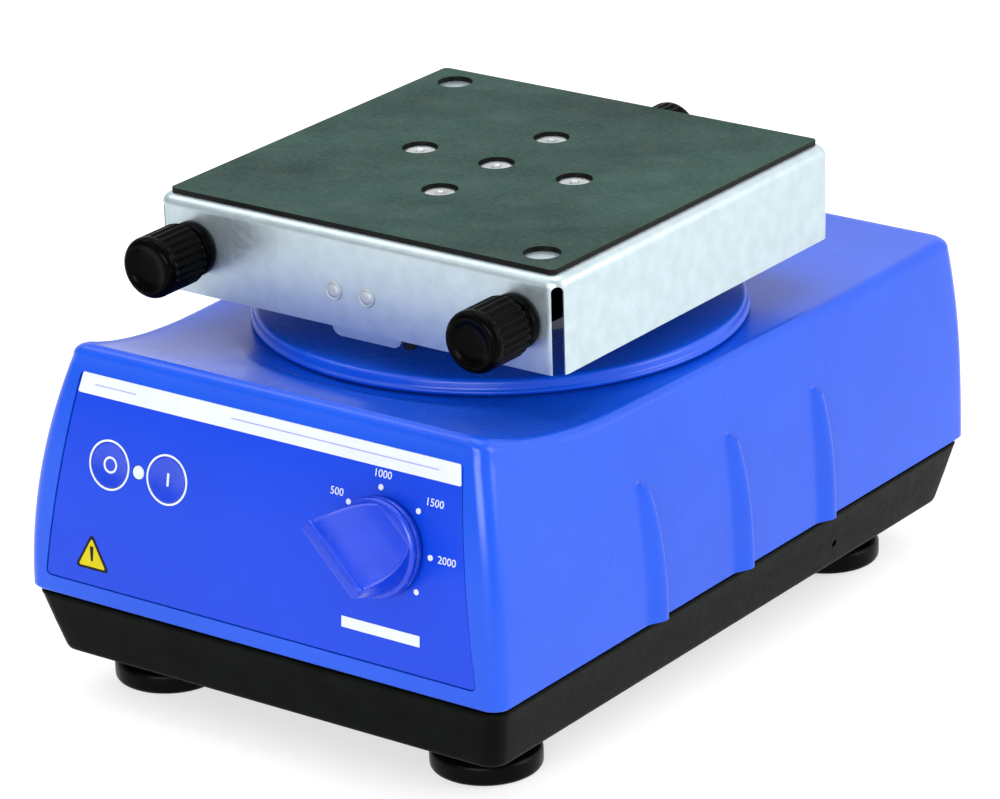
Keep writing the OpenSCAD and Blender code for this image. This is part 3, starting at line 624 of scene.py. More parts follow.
def worked(name, dark, light, rough, stretch=(1, 1, 1), grain=1.2, depth=0.006, metal=1.0):
    """Bare metal with machining or rolling marks along one direction."""
    f = Finish(name, rough, metal=metal)
    f.colour(dark, light, f.noise(grain * 6, 4, stretch))
    f.uneven(f.noise(grain * 2, 4, stretch), 0.06)
    f.bump(f.noise(grain, 3, stretch), depth)
    return f.material


def mat_rubber():
    """The dusty top of the rubber mat: cloudy patches, fine specks and a grain."""
    f = Finish("mat_rubber", 0.62, gloss=0.15)
    clouds = f.noise(24, 5, (0.45, 1, 1), 36.5)
    specks = f.noise(1.5, 2)
    both = f.node("ShaderNodeMix", data_type="FLOAT")
    both.inputs[0].default_value = 0.42
    f.tree.links.new(clouds, both.inputs[2])
    f.tree.links.new(specks, both.inputs[3])
    f.colour("0F2824", "2C4A43", both.outputs[0])
    f.uneven(f.noise(12, 4), 0.08)
    f.bump(f.noise(0.9, 4), 0.05)
    return f.material


MATERIALS = {
    "housing_blue": paint("housing_blue", "0648C6", "0A4CCC", 0.27, 0.0008, 0.36),
    "panel_blue": paint("panel_blue", "063AC2", "083CC6", 0.3, 0.0006, 0.26),
    "tub_black": moulded("tub_black", "020402", "060A06", 0.36, 0.9, 0.045, 0.03),
    "foot_rubber": moulded("foot_rubber", "020202", "040404", 0.3, 0.8, 0.008, 0.06),
    "print_white": moulded("print_white", "CAD0E2", "D0D6E6", 0.4, 0.5, 0.002),
    "print_lavender": moulded("print_lavender", "8E96D8", "9AA0DE", 0.4, 0.5, 0.002),
    "print_black": moulded("print_black", "060604", "0A0A08", 0.4, 0.5, 0.002, 0.2),
    "caution_yellow": moulded("caution_yellow", "BCAE00", "C6B804", 0.4, 0.5, 0.002, 0.2),
    "dial_blue": moulded("dial_blue", "0634BA", "0838C0", 0.24, 0.5, 0.001, 0.5),
    "led_white": moulded("led_white", "C0D0EA", "CCDAF0", 0.25, 0.6, 0.002),
    "board_green": moulded("board_green", "125A2C", "1A6A36", 0.4, 1.0, 0.01),
    "black_plastic": moulded("black_plastic", "060606", "0C0C0C", 0.45, 0.7, 0.015, 0.25),
    "white_plastic": moulded("white_plastic", "E4E4E0", "EEEEEA", 0.4, 0.7, 0.01),
    "steel": worked("steel", "B4B8BA", "D2D6D8", 0.28),
    "rivet_pale": worked("rivet_pale", "A8B0B4", "B4BCC0", 0.55, metal=0.6),
    "brass": worked("brass", "B8923C", "D0AC54", 0.3),
    "copper_winding": worked("copper_winding", "A85A22", "C87838", 0.35, (1, 1, 12)),
    "lamination": worked("lamination", "505256", "6C6E72", 0.45, (1, 1, 14)),
    "cast_aluminium": worked("cast_aluminium", "8C9092", "A4A8AA", 0.5, grain=2.0, depth=0.05),
    "tray_metal": worked("tray_metal", "B3C2C8", "BBCAD0", 0.38, (1, 1, 1), 0.7, 0.002, metal=0.8),
    "mat_rubber": mat_rubber(),
    # near-black rubber for the mat's side faces: the rubber's own black, and painted shade on the sides
    "mat_edge": moulded("mat_edge", "040504", "080908", 0.5, 0.8, 0.015, 0.15),
    "knob_black": moulded("knob_black", "020202", "030303", 0.22, 0.7, 0.006, 0.03),
}


# ---------- housing, tub and feet ----------

def build_housing():
    """The upper housing's shell, with its gills, panel recess and inlet opening, and its posts."""
    below = (0.008, 0.03, 0.06, 0.1, 0.15, 0.2, 0.26, 0.32, 0.38, 0.44, 0.5, 0.56, 0.6, 0.63)
    at_gill_ends = (0.65, 0.663, 0.674, 0.683, 0.691, 0.6975, 0.703, 0.709, 0.715, 0.721)
    above = (0.735, 0.76, 0.79, 0.83, 0.87, 0.91, 0.95, 1)
    rings = [wall_ring(0.45, 0)]
    rings += [wall_ring(0, t, gills=True) for t in below + at_gill_ends + above]
    rings += [edge_ring(a) for a in (15, 30, 45, 60, 75, 90)]
    rings += [top_ring(EDGE_R, t) for t in np.linspace(0.03, 1, 26)]
    rings += [top_ring(EDGE_R + WALL / 2, t, WALL) for t in (1, 0.7, 0.4, 0.2, 0.02)]
    rings += [wall_ring(WALL, t, WALL) for t in (0.95, 0.7, 0.4, 0.15, 0)]
    housing = make("housing_skin", loft(rings, cyclic=True))
    recess = raised(filled([panel_outline(0, 1.6)], panel_levels()), on_panel, -3, 1.0)
    lamp_hole_r = 2.4
    cuts = [recess]
    for x in BUTTONS_X:
        cuts.append(moved(rod(BUTTON_R + 0.4, -8, 0.5), front_frame(x, BUTTON_Z)))
    cuts.append(moved(rod(lamp_hole_r, -8, 0.5), front_frame(LED_X, BUTTON_Z)))
    cuts.append(moved(rod(DIAL_HOLE_R, -8, 0.5), front_frame(DIAL_X, DIAL_Z)))
    for cut in cuts:
        carve(housing, cut)
    inlet_low = (25.9, HALF_D - 6, 36.4)
    inlet_high = (54.1, HALF_D + 6, 57.6)
    inlet_z = 47
    inlet_screws_x = (20, 60)
    inlet_screw_r = 1.6
    carve(housing, block(inlet_low, inlet_high))
    for x in inlet_screws_x:
        side = Matrix.Translation((x, HALF_D, inlet_z)) @ Matrix.Rotation(math.pi / 2, 4, "X")
        carve(housing, moved(rod(inlet_screw_r, -5, 8, 24), side))
    posts = []
    for x, y in POSTS:
        top = float(top_at(x, y)) - 1
        tube = turned([(0, 60), (2.05, 60), (2.05, 34), (4.5, 34), (4.5, top), (0, top)], 32)
        posts.append(moved(tube, Matrix.Translation((x, y, 0))))
    place_piece(housing, "base", "housing_blue", MATERIALS["housing_blue"], "upper_housing")
    inside = make("housing_posts", joined(posts))
    place_piece(inside, "base", "housing_blue", MATERIALS["housing_blue"])


def tub_ring(inset, z):
    """A ring round the tub, level at height z."""
    p = outline(HALF_W - inset, HALF_D - inset, CORNER_R)
    return np.column_stack([p, np.full(len(p), z)])


def build_tub():
    """The black tub under the housing, with screw pockets, two small side holes and posts."""
    mid_z = (FOOT_H + TUB_TOP) / 2
    section = [
        (TUB_INSET + 1.6, FOOT_H), (TUB_INSET + 0.9, FOOT_H + 0.15), (TUB_INSET + 0.35, FOOT_H + 0.5),
        (TUB_INSET + 0.05, FOOT_H + 1.1), (TUB_INSET - 0.2, FOOT_H + 1.9),
        (mix(TUB_INSET, 1.2, 0.5), mid_z), (1.5, TUB_TOP - 1.9), (1.25, TUB_TOP - 1.2),
        (1.35, TUB_TOP - 0.6), (1.8, TUB_TOP - 0.15), (2.4, TUB_TOP), (WALL + 0.4, TUB_TOP),
        (WALL + 0.4, LIP_TOP), (WALL + 2, LIP_TOP), (TUB_INSET + 1.5, FOOT_H + 5),
        (TUB_INSET + 3.5, FOOT_H + 3)]
    tub = make("tub_skin", loft([tub_ring(i, z) for i, z in section]))
    posts = []
    for x, y in POSTS:
        post = turned([(0, FOOT_H + 2.9), (6, FOOT_H + 2.9), (6, BODY_Z + 3), (0, BODY_Z + 3)], 40)
        posts.append(moved(post, Matrix.Translation((x, y, 0))))
    cuts = []
    for x, y in POSTS:
        pocket = turned([(0, FOOT_H - 1), (4.5, FOOT_H - 1), (4.5, FOOT_H + 2.6), (0, FOOT_H + 2.6)], 40)
        cuts.append(moved(pocket, Matrix.Translation((x, y, 0))))
    for side in (-1, 1):
        turn = Matrix.Translation((side * HALF_W, 49, 19)) @ Matrix.Rotation(-side * math.pi / 2, 4, "Y")
        cuts.append(moved(rod(1.1, -1, 6, 32), turn))
    carve(tub, joined(cuts))
    place_piece(tub, "base", "tub_black", MATERIALS["tub_black"], "base_tub")
    bosses = make("tub_posts", joined(posts))
    place_piece(bosses, "base", "tub_black", MATERIALS["tub_black"])


def build_feet():
    """Four waisted rubber feet, each with a screw hole."""
    profile = [
        (0, 5), (5.5, 5), (5.5, 0.3), (5.8, 0), (13.2, 0), (14, 0.2), (14.6, 0.6), (14.9, 1.1), (15, 1.7),
        (15, 4.7), (14.8, 5.4), (14.3, 6), (13.6, 6.4), (12.8, 6.7), (12.3, 7.2), (12, 8), (12, FOOT_H),
        (0, FOOT_H)]
    feet = [moved(turned(profile), Matrix.Translation((x, y, 0))) for x, y in FEET]
    piece = make("foot_set", joined(feet), 50)
    place_piece(piece, "base", "foot_rubber", MATERIALS["foot_rubber"], "rubber_feet")


# ---------- front panel ----------

def panel_outline(margin, corner, low=PANEL_LOW, high=PANEL_HIGH):
    """The panel's outline on the unrolled front wall, made smaller by margin."""
    slope = (PANEL_LOW_W - PANEL_HIGH_W) / (PANEL_HIGH - PANEL_LOW)
    a = PANEL_LOW_W - (low - PANEL_LOW) * slope - margin
    b = PANEL_LOW_W - (high - PANEL_LOW) * slope - margin
    v0 = up_front(low) + margin
    v1 = up_front(high) - margin
    return rounded([(-a, v0), (a, v0), (b, v1), (-b, v1)], corner)


def panel_levels():
    """Heights at which the panel's flat mesh is cut, so that it can follow the curve."""
    step = 1.6
    return list(np.arange(up_front(PANEL_LOW) + step, up_front(PANEL_HIGH), step))


def build_panel():
    """The panel plate, the white stripe along its top and the thin rules on the stripe."""
    holes = [ring_loop(BUTTON_R + 0.08, x, up_front(BUTTON_Z)) for x in BUTTONS_X]
    holes.append(ring_loop(2.05, LED_X, up_front(BUTTON_Z), 32))
    holes.append(ring_loop(DIAL_HOLE_R, DIAL_X, up_front(DIAL_Z), 32))
    panel = panel_sheet("panel_plate", [panel_outline(0.35, 1.3)] + holes, 0.25, 1.0, panel_levels())
    place_piece(panel, "base", "panel_blue", MATERIALS["panel_blue"], "front_panel")
    stripe = panel_sheet("stripe_white", [panel_outline(0.7, 0.5, 86.5, 93.2)], PRINT_TOP,
                         PRINT_BOTTOM, [up_front(z) for z in (88, 89.5, 91)])
    place_piece(stripe, "base", "print_white", MATERIALS["print_white"], "stripe_label")
    lines = []
    v = up_front(89.9)
    half = 0.17
    for x0, x1 in ((-57.5, -43.5), (-11.5, 55.5)):
        loop = [(x0, v - half), (x1, v - half), (x1, v + half), (x0, v + half)]
        lines.append(raised(filled([loop]), on_panel, 0.09, 0.13))
    rule = make("stripe_rule", joined(lines))
    place_piece(rule, "base", "print_white", MATERIALS["print_lavender"])


def printed(loops, levels=()):
    """A thin solid of print on the panel."""
    return raised(filled(loops, levels), on_panel, PRINT_TOP, PRINT_BOTTOM)


def digits(text, size, x, v):
    """Numerals as a thin solid on the panel, centred at (x, v)."""
    curve = bpy.data.curves.new("digits", "FONT")
    curve.body = text
    curve.size = size
    curve.align_x = "CENTER"
    curve.align_y = "CENTER"
    curve.resolution_u = 4
    holder = bpy.data.objects.new("digits", curve)
    bpy.context.scene.collection.objects.link(holder)
    bpy.context.view_layer.update()
    depsgraph = bpy.context.evaluated_depsgraph_get()
    mesh = bpy.data.meshes.new_from_object(holder.evaluated_get(depsgraph))
    bm = bmesh.new()
    bm.from_mesh(mesh)
    bmesh.ops.remove_doubles(bm, verts=bm.verts, dist=1e-4)
    bmesh.ops.triangulate(bm, faces=bm.faces)
    bmesh.ops.translate(bm, verts=bm.verts, vec=(x, v, 0))
    bpy.data.objects.remove(holder)
    return raised(bm, on_panel, PRINT_TOP, PRINT_BOTTOM)


def build_print():
    """White print: speed dots and numbers, rings round the buttons and a blank tag."""
    c = up_front(DIAL_Z)
    forms = []
    scale_r = 15
    for angle in (143, 99, 48, 0, -41):
        a = math.radians(angle)
        dot = ring_loop(0.78, DIAL_X + scale_r * math.cos(a), c + scale_r * math.sin(a), 24)
        forms.append(printed([dot]))
    labels = (("500", -15.9, 10.9), ("1000", -2.2, 18.2), ("1500", 14.8, 14.1), ("2000", 20.2, 0.0))
    for text, x, v in labels:
        forms.append(digits(text, 2.9, DIAL_X + x, c + v))
    for x in BUTTONS_X:
        rings = [ring_loop(6.85, x, up_front(BUTTON_Z), 96), ring_loop(6.3, x, up_front(BUTTON_Z), 96)]
        levels = [up_front(BUTTON_Z) + s for s in (-4, -2, 0, 2, 4)]
        forms.append(printed(rings, levels))
    low = up_front(43.5)
    high = up_front(46.5)
    tag = [(28.5, low), (53.5, low), (53.5, high), (28.5, high)]
    forms.append(printed([tag]))
    piece = make("print_set", joined(forms))
    place_piece(piece, "base", "print_white", MATERIALS["print_white"], "panel_print")


def build_caution():
    """A plain yellow triangle with a black border and a short bar."""
    middle = -55.2

    def triangle(inset, corner):
        base = up_front(40.2) + inset
        top = up_front(50.5) - inset * 2
        half = 5.9 - inset * 1.75
        return rounded([(middle - half, base), (middle + half, base), (middle, top)], corner, 4)
    v = up_front(42.6)
    bar = [(-55.55, v), (-54.85, v), (-54.6, v + 4.2), (-55.8, v + 4.2)]
    border = make("caution_border", raised(filled([triangle(0, 0.8)]), on_panel, 0.14, 0.25))
    place_piece(border, "base", "caution_yellow", MATERIALS["print_black"], "caution_mark")
    field = make("caution_field", raised(filled([triangle(0.75, 0.4)]), on_panel, 0.1, 0.15))
    place_piece(field, "base", "caution_yellow", MATERIALS["caution_yellow"])
    sign = make("caution_bar", raised(filled([rounded(bar, 0.25, 3)]), on_panel, 0.06, 0.11))
    place_piece(sign, "base", "caution_yellow", MATERIALS["print_black"])


def build_buttons():
    """Dished caps, each with its switch sign, and the lamp between them."""
    def dish(r):
        return 29.3 - math.sqrt(30.0 ** 2 - r * r)

    def on_dish(u, v, depth):
        return (u, v, dish(math.hypot(u, v)) - depth)

    hollow = [(r, dish(r)) for r in np.linspace(0, BUTTON_R - 0.6, 9)]
    edge = BUTTON_R - 0.35
    flange = BUTTON_R + 1.2
    rim = [(edge, dish(edge) + 0.02), (BUTTON_R - 0.1, -0.2), (BUTTON_R, -0.4)]
    stem = [(BUTTON_R, -3.2), (flange, -3.2), (flange, -4.4), (2, -4.4), (2, -10.2), (0, -10.2)]
    signs = {
        "off": [ring_loop(2.3, n=48), ring_loop(1.7, n=48)],
        "on": [rounded([(-0.36, -1.8), (0.36, -1.8), (0.36, 1.8), (-0.36, 1.8)], 0.15, 3)],
    }
    for x, key in zip(BUTTONS_X, ("off", "on")):
        place = front_frame(x, BUTTON_Z)
        cap = make(f"button_cap_{key}", moved(turned(hollow + rim + stem), place), 50)
        place_piece(cap, f"{key}_key", "dial_blue", MATERIALS["dial_blue"], f"button_{key}")
        form = raised(filled(signs[key]), on_dish, -0.04, 0.02)
        sign = make(f"button_sign_{key}", moved(form, place))
        place_piece(sign, f"{key}_key", "print_white", MATERIALS["print_white"])
    dome = [(0, 0.12), (0.8, 0.08), (1.4, -0.04), (1.75, -0.2), (1.9, -0.45), (1.9, -13), (2.6, -13),
            (2.6, -14.4), (0, -14.4)]
    lamp = make("lamp_lens", moved(turned(dome, 48), front_frame(LED_X, BUTTON_Z)), 60)
    place_piece(lamp, "base", "led_white", MATERIALS["led_white"], "status_led")


def build_dial():
    """Bar grip: a round body that a wide scoop on each side draws in to a narrow crest."""
    ring_top = 4.6
    scoop_r = 26.0
    crest_r = 11.5
    crest_z = 21.5
    soft = 0.35

    def body(angles, r, z):
        half = 27.7 - math.sqrt(scoop_r ** 2 - (z - 23.5) ** 2) - (crest_r - r if z > 21 else 0)
        flat = half / np.maximum(np.abs(np.sin(angles)), 1e-3)
        gap = np.clip(0.5 + 0.5 * (flat - r) / soft, 0, 1)
        return flat * (1 - gap) + r * gap - soft * gap * (1 - gap)

    def shape(angles, r, z):
        in_grip = z > ring_top + 0.001 and r > 8
        return body(angles, r, z) if in_grip else np.full(len(angles), float(r))

    under = [(0, 14.05), (3.05, 14.05), (3.05, 3.2), (7, 3.2), (7, 0.6)]
    base = [(12.5, 0.6), (12.85, 0.75), (13, 1.1), (13, 2.2), (12.75, 2.4), (12.75, 2.6), (13, 2.8),
            (13, 3.8), (12.85, 4.25), (12.5, 4.5), (12, 4.58), (11.95, 4.6)]
    grip = []
    for z in np.linspace(ring_top + 0.01, crest_z, 76):
        grip.append((mix(11.9, crest_r, (z - ring_top) / 17.4), z))
    crest = []
    for a in np.linspace(0.2, 1.57, 6):
        crest.append((crest_r - 0.5 * (1 - math.cos(a)), crest_z + 0.5 * math.sin(a)))
    place = front_frame(DIAL_X, DIAL_Z) @ Matrix.Rotation(math.radians(DIAL_REST), 4, "Z")
    form = turned(under + base + grip + crest, 320, shape)
    dial = make("dial_grip", moved(form, place), 60)
    place_piece(dial, "dial", "dial_blue", MATERIALS["dial_blue"], "speed_dial")


# ---------- table and tray ----------

def build_disc():
    """The round blue splash disc: its rim has a small bead at the bottom and a rounded top edge."""
    bead = [(-2.2, 0), (-1.3, 0), (-0.7, 0.12), (-0.25, 0.4), (-0.03, 0.8), (-0.02, 1.1),
            (-0.15, 1.35), (-0.4, 1.55), (-0.6, 1.8), (-0.7, 2.2)]
    edge = [(-0.8, 1.0), (-0.95, 0.6), (-1.3, 0.27), (-1.8, 0.07), (-2.5, 0)]
    hole_r = 34.1
    thick = 2.0
    profile = [(hole_r, DISC_TOP - thick), (DISC_R - 2.2, DISC_TOP - thick)]
    profile += [(DISC_R + r, DISC_Z + z) for r, z in bead]
    profile += [(DISC_R + r, DISC_TOP - z) for r, z in edge]
    profile.append((hole_r, DISC_TOP))
    count = 256
    angles = np.linspace(0, 2 * math.pi, count, endpoint=False)
    rings = []
    for r, z in profile:
        rings.append(np.stack([r * np.cos(angles), r * np.sin(angles) + TABLE_Y, np.full(count, z)], 1))
    disc = make("disc_skin", loft(rings, cyclic=True), 50)
    place_piece(disc, "table", "housing_blue", MATERIALS["housing_blue"], "splash_disc")


def tray_ring(inset, corner, z):
    """A ring round the tray, level at height z."""
    arc = 10
    a = TRAY_W / 2 - inset
    b = TRAY_D / 2 - inset
    points = []
    for q, (sx, sy) in enumerate(((1, 1), (-1, 1), (-1, -1), (1, -1))):
        for i in range(arc + 1):
            t = math.radians(90 * q + 90 * i / arc)
            points.append((sx * (a - corner) + corner * math.cos(t),
                           TABLE_Y + sy * (b - corner) + corner * math.sin(t), z))
    return np.array(points)


def build_tray():
    """A folded sheet: its skirts end short of each other, which leaves a slit at each corner."""
    low = TRAY_Z - SKIRT_H
    corner = 4.2
    rings = []
    for a in np.linspace(90, 0, 10):
        t = math.radians(a)
        inset = BEND_R * (1 - math.cos(t))
        rings.append(tray_ring(inset, corner - inset * 0.8, TRAY_Z - BEND_R * (1 - math.sin(t))))
    rings.append(tray_ring(0, corner, low))
    inner = BEND_R - SHEET
    rings.append(tray_ring(SHEET, corner - SHEET, low))
    for a in np.linspace(0, 90, 7):
        t = math.radians(a)
        inset = SHEET + inner * (1 - math.cos(t))
        height = TRAY_Z - SHEET - inner * (1 - math.sin(t))
        rings.append(tray_ring(inset, max(corner - inset, 1), height))
    tray = make("tray_sheet", loft(rings))
    cuts = []
    half = SLIT / 2
    arch_z = TRAY_Z - 4.1
    arch = [(half * math.cos(t), arch_z + half * math.sin(t)) for t in np.linspace(0, math.pi, 17)]
    slot = [(half, low - 2)] + arch + [(-half, low - 2)]
    for sx in (-1, 1):
        for sy in (-1, 1):
            rings = [np.array([(x, y, z) for x, z in slot]) for y in (-5.5, 4)]
            turn = Matrix.Rotation(math.atan2(-sx, sy), 4, "Z")
            corner_at = Matrix.Translation((sx * (TRAY_W / 2 - 1.5), TABLE_Y + sy * (TRAY_D / 2 - 1.5), 0))
            cuts.append(moved(loft(rings), corner_at @ turn))
    for x, y in SCREWS_AT:
        cuts.append(moved(rod(2.75, -5, 3, 32), Matrix.Translation((x, y + TABLE_Y, TRAY_Z))))
    for which in KNOBS:
        cuts.append(moved(rod(3.2, -6, 3, 40), knob_frame(which)))
    for x in RIVETS_X:
        cuts.append(moved(rod(RIVET_HOLE_R, -4, 3, 24), rivet_frame(x)))
    carve(tray, joined(cuts))
    round_edges(tray, 0.22, 3, 40)
    place_piece(tray, "table", "tray_metal", MATERIALS["tray_metal"], "tray")


def build_mat():
    """The rubber mat, with a hole over each screw and at two corners: a dusty top, and near-black side faces
    that are black rubber and painted shade.
    """
    half_w = 63.0
    half_d = 62.25
    corners = [(-half_w, -half_d), (half_w, -half_d), (half_w, half_d), (-half_w, half_d)]
    outer = rounded(corners, 1.6, 6)
    holes = [ring_loop(HOLE_R, x, y) for x, y in SCREWS_AT]
    holes += [ring_loop(HOLE_R, -s * CORNER_HOLE, s * CORNER_HOLE) for s in (-1, 1)]

    def place(u, v, depth):
        return (u, v + TABLE_Y, TRAY_Z + MAT_H - depth)
    mat = make("mat_sheet", raised(filled([outer] + holes), place, 0, MAT_H))
    place_piece(mat, "table", "mat_rubber", MATERIALS["mat_rubber"], "tray_mat")
    # painted shade on the sides: faces that point up take the dusty top colour, all others the near-black
    # edge colour, so the sides render darker than the top
    mat.data.materials.append(MATERIALS["mat_edge"])
    for face in mat.data.polygons:
        face.material_index = 0 if face.normal.z > 0.5 else 1
    round_edges(mat, 0.18, 2)
    # the rounded edges take the near-black painted-shade colour as well
    mat.modifiers["edges"].material = 1


def screw_form(r, length, head_r, head_h, recess):
    """Pan-head screw with a hexagon recess, its head on z = 0."""
    def hexagon(angles, radius, z):
        turn = (angles + math.pi / 6) % (math.pi / 3) - math.pi / 6
        return radius * math.cos(math.pi / 6) / np.cos(turn)

    def shape(angles, radius, z):
        inside = z > 0.2 and radius <= recess
        return hexagon(angles, radius, z) if inside else np.full(len(angles), float(radius))
    crown = [(head_r, 0.02), (head_r, head_h * 0.45), (head_r * 0.97, head_h * 0.7),
             (head_r * 0.9, head_h * 0.88), (head_r * 0.78, head_h * 0.97), (head_r * 0.6, head_h)]
    profile = [(0, -length), (r * 0.8, -length), (r, -length + 0.4), (r, 0), (head_r * 0.98, 0)] + crown
    profile += [(recess + 0.12, head_h), (recess, head_h - 0.1), (recess, head_h * 0.7), (0, head_h * 0.7)]
    return turned(profile, 96, shape)


def build_fasteners():
    """The five tray screws and the two rivets of the front skirt."""
    screw = screw_form(r=2.4, length=7.2, head_r=4.5, head_h=0.6, recess=1.3)
    screws = [moved(screw, Matrix.Translation((x, y + TABLE_Y, TRAY_Z))) for x, y in SCREWS_AT]
    piece = make("tray_screw_set", joined(screws), 40)
    place_piece(piece, "table", "steel", MATERIALS["steel"], "tray_screws")
    head = [(0, -3.8), (1.6, -3.8), (1.9, -3.6), (2.1, -3), (1.4, -3), (1.4, 0), (2.5, 0), (2.6, 0.12),
            (2.5, 0.4), (2.3, 0.52), (2.05, 0.42), (1.85, 0.42), (1.7, 0.6), (0.9, 0.68), (0, 0.7)]
    rivets = [moved(turned(head, 64), rivet_frame(x)) for x in RIVETS_X]
    piece = make("rivet_set", joined(rivets), 50)
    place_piece(piece, "table", "steel", MATERIALS["rivet_pale"], "skirt_rivets")


def build_knobs():
    """Fluted grips with a wide collar, a neck and a smooth rounded front."""
    flutes = 24
    groove = 0.55

    def shape(angles, r, z):
        radii = np.full(len(angles), float(r))
        along = smooth((z - 6.0) / 0.9) * (1 - smooth((z - KNOB_REACH + 3.6) / 1.0))
        if r > 8 and along > 0:
            wave = np.cos(flutes * angles)
            radii -= groove * along * np.clip(0.5 + 0.9 * wave, 0, 1)
        return radii
    screw = [(0, -16), (2.5, -16), (2.9, -15.6), (2.9, 0.4)]
    collar = [(7, 0.4), (7.35, 0.55), (7.55, 0.95), (7.6, 1.6), (7.6, 3), (7.45, 3.6), (7.0, 4.0), (6.4, 4.2),
              (6.15, 4.5), (6.1, 4.9), (6.3, 5.2), (7.2, 5.5), (8.05, 5.75), (8.4, 6.1)]
    grip = [(GRIP_R, z) for z in np.linspace(6.5, KNOB_REACH - 2.4, 22)]
    front = [(GRIP_R, 2.0), (8.35, 1.3), (8.0, 0.7), (7.4, 0.2), (6.7, 0), (6.1, 0.1), (5.6, 0.4),
             (5.0, 0.75), (3.5, 1.05), (1.8, 1.18), (0, 1.2)]
    cap = [(r, KNOB_REACH - down) for r, down in front]
    for which in KNOBS:
        form = moved(turned(screw + collar + grip + cap, 192, shape), knob_frame(which))
        knob = make(f"knob_grip_{which}", form, 60)
        place_piece(knob, f"knob_{which}", "knob_black", MATERIALS["knob_black"], f"clamp_knob_{which}")


def build_bumper():
    """Small rubber stop at the end of the plate behind the front skirt."""
    y = TABLE_Y - TRAY_D / 2 + SHEET
    stop = make("plate_bumper", block((14.3, y, 101.2), (17.2, y + 3, 104.4)))
    round_edges(stop, 0.5, 3)
    place_piece(stop, "table", "black_plastic", MATERIALS["black_plastic"])


def dress_cad():
    """A material for every CAD node, and softened edges on those that stay in sight."""
    slots = {s["node"]: s["material_slot"] for s in frame["record"]["subparts"]}
    for name, obj in frame["nodes"].items():
        obj.data.materials.clear()
        obj.data.materials.append(MATERIALS[slots[name]])
    for name in ("skirt_plate", "mains_inlet", "inlet_pins", "skirt_nuts"):
        weld = frame["nodes"][name].modifiers.new("weld", "WELD")
        weld.merge_threshold = 1e-6
        round_edges(frame["nodes"][name], 0.25, 2)


# ---------- floor, lights and camera ----------

def build_stage():
    """A plain pale floor."""
    grid = 24
    half = 6.0
    points = []
    for j in range(grid + 1):
        for i in range(grid + 1):
            x = mix(-half, half, i / grid)
            y = mix(-half, half, j / grid)
            points.append((x, y, FLOOR_Z))
    row = grid + 1
    faces = []
    for j in range(grid):
        for i in range(grid):
            a = j * row + i
            faces.append((a, a + 1, a + row + 1, a + row))
    mesh = bpy.data.meshes.new("floor")
    mesh.from_pydata(points, [], faces)
    floor = bpy.data.objects.new("floor", mesh)
    bpy.context.scene.collection.objects.link(floor)
    f = Finish("floor_white", 0.75)
    f.colour("B4B4B4", "B8B8B8", f.noise(400, 2))
    f.uneven(f.noise(50, 2), 0.03)
    f.shader.inputs["Emission Color"].default_value = (1, 1, 1, 1)
    f.shader.inputs["Emission Strength"].default_value = 0.62
    mesh.materials.append(f.material)


def softbox(name, spot, aim, size, power):
    """A rectangular area light at spot, turned towards aim."""
    light = bpy.data.lights.new(name, "AREA")
    light.shape = "RECTANGLE"
    light.size = size[0]
    light.size_y = size[1]
    light.energy = power
    obj = bpy.data.objects.new(name, light)
    obj.location = spot
    obj.rotation_euler = (Vector(aim) - Vector(spot)).to_track_quat("-Z", "Y").to_euler()
    bpy.context.scene.collection.objects.link(obj)


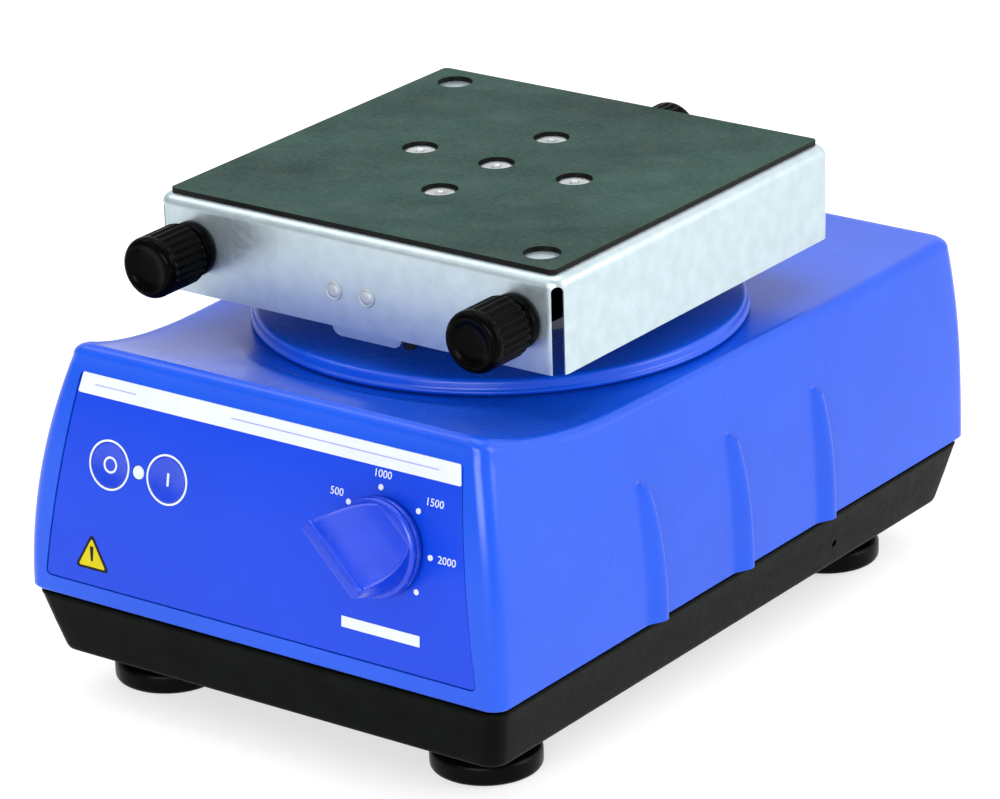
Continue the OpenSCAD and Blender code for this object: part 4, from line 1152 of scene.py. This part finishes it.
def build_lights():
    """A pale surround, brightest behind, on the right and overhead, and five softboxes."""
    world = bpy.data.worlds.new("studio")
    world.use_nodes = True
    tree = world.node_tree
    sky = tree.nodes["Background"]
    sky.inputs["Color"].default_value = (1, 1, 1, 1)
    heading = tree.nodes.new("ShaderNodeTexCoord")
    apart = tree.nodes.new("ShaderNodeSeparateXYZ")
    tree.links.new(heading.outputs["Generated"], apart.inputs["Vector"])
    level = None
    for axis, dim, bright in (("X", 0.0, 0.25), ("Y", 0.0, 0.75), ("Z", 0.25, 0.42)):
        share = tree.nodes.new("ShaderNodeMapRange")
        share.interpolation_type = "SMOOTHSTEP"
        for key, value in (("From Min", -0.6), ("From Max", 0.9), ("To Min", dim), ("To Max", bright)):
            share.inputs[key].default_value = value
        tree.links.new(apart.outputs[axis], share.inputs["Value"])
        if level is not None:
            total = tree.nodes.new("ShaderNodeMath")
            tree.links.new(level, total.inputs[0])
            tree.links.new(share.outputs["Result"], total.inputs[1])
            level = total.outputs["Value"]
        else:
            level = share.outputs["Result"]
    tree.links.new(level, sky.inputs["Strength"])
    bpy.context.scene.world = world
    aim = (0, 0, 0.07)
    softbox("key", (-0.7, -1.5, 1.5), aim, (1.0, 1.0), 4)
    softbox("fill", (0.5, -1.7, 0.6), aim, (1.2, 0.5), 19)
    softbox("side", (1.75, 0.8, 0.8), aim, (1.2, 1.2), 17)
    softbox("top", (0.0, 0.2, 1.9), aim, (1.4, 1.4), 14)
    softbox("left", (-1.15, -0.4, 1.6), aim, (0.8, 0.8), 6)


def build_camera():
    """The photo's camera: it stands in front, to the right and above, and leans a little."""
    azimuth = math.radians(36.46)
    elevation = math.radians(21.18)
    roll = math.radians(-1.62)
    distance = 1398.4
    target = Vector((-2.9, 0, 62.0))
    back = Vector((math.sin(azimuth) * math.cos(elevation), -math.cos(azimuth) * math.cos(elevation),
                   math.sin(elevation)))
    right = (-back).cross(Vector((0, 0, 1))).normalized()
    up = right.cross(-back)
    x = right * math.cos(roll) + up * math.sin(roll)
    y = up * math.cos(roll) - right * math.sin(roll)
    turn = Matrix((x, y, back)).transposed().to_4x4()
    data = bpy.data.cameras.new("camera")
    data.sensor_width = 36
    data.lens = 182.6
    data.clip_start = 0.05
    data.clip_end = 50
    camera = bpy.data.objects.new("camera", data)
    camera.matrix_world = Matrix.Translation(TO_FRAME @ (target + back * distance)) @ turn
    bpy.context.scene.collection.objects.link(camera)
    bpy.context.scene.camera = camera


build_camera()
build_lights()
build_stage()
dress_cad()
build_housing()
build_tub()
build_feet()
build_panel()
build_print()
build_caution()
build_buttons()
build_dial()
build_disc()
build_tray()
build_mat()
build_fasteners()
build_knobs()
build_bumper()

bpy.context.scene.view_settings.view_transform = "Standard"
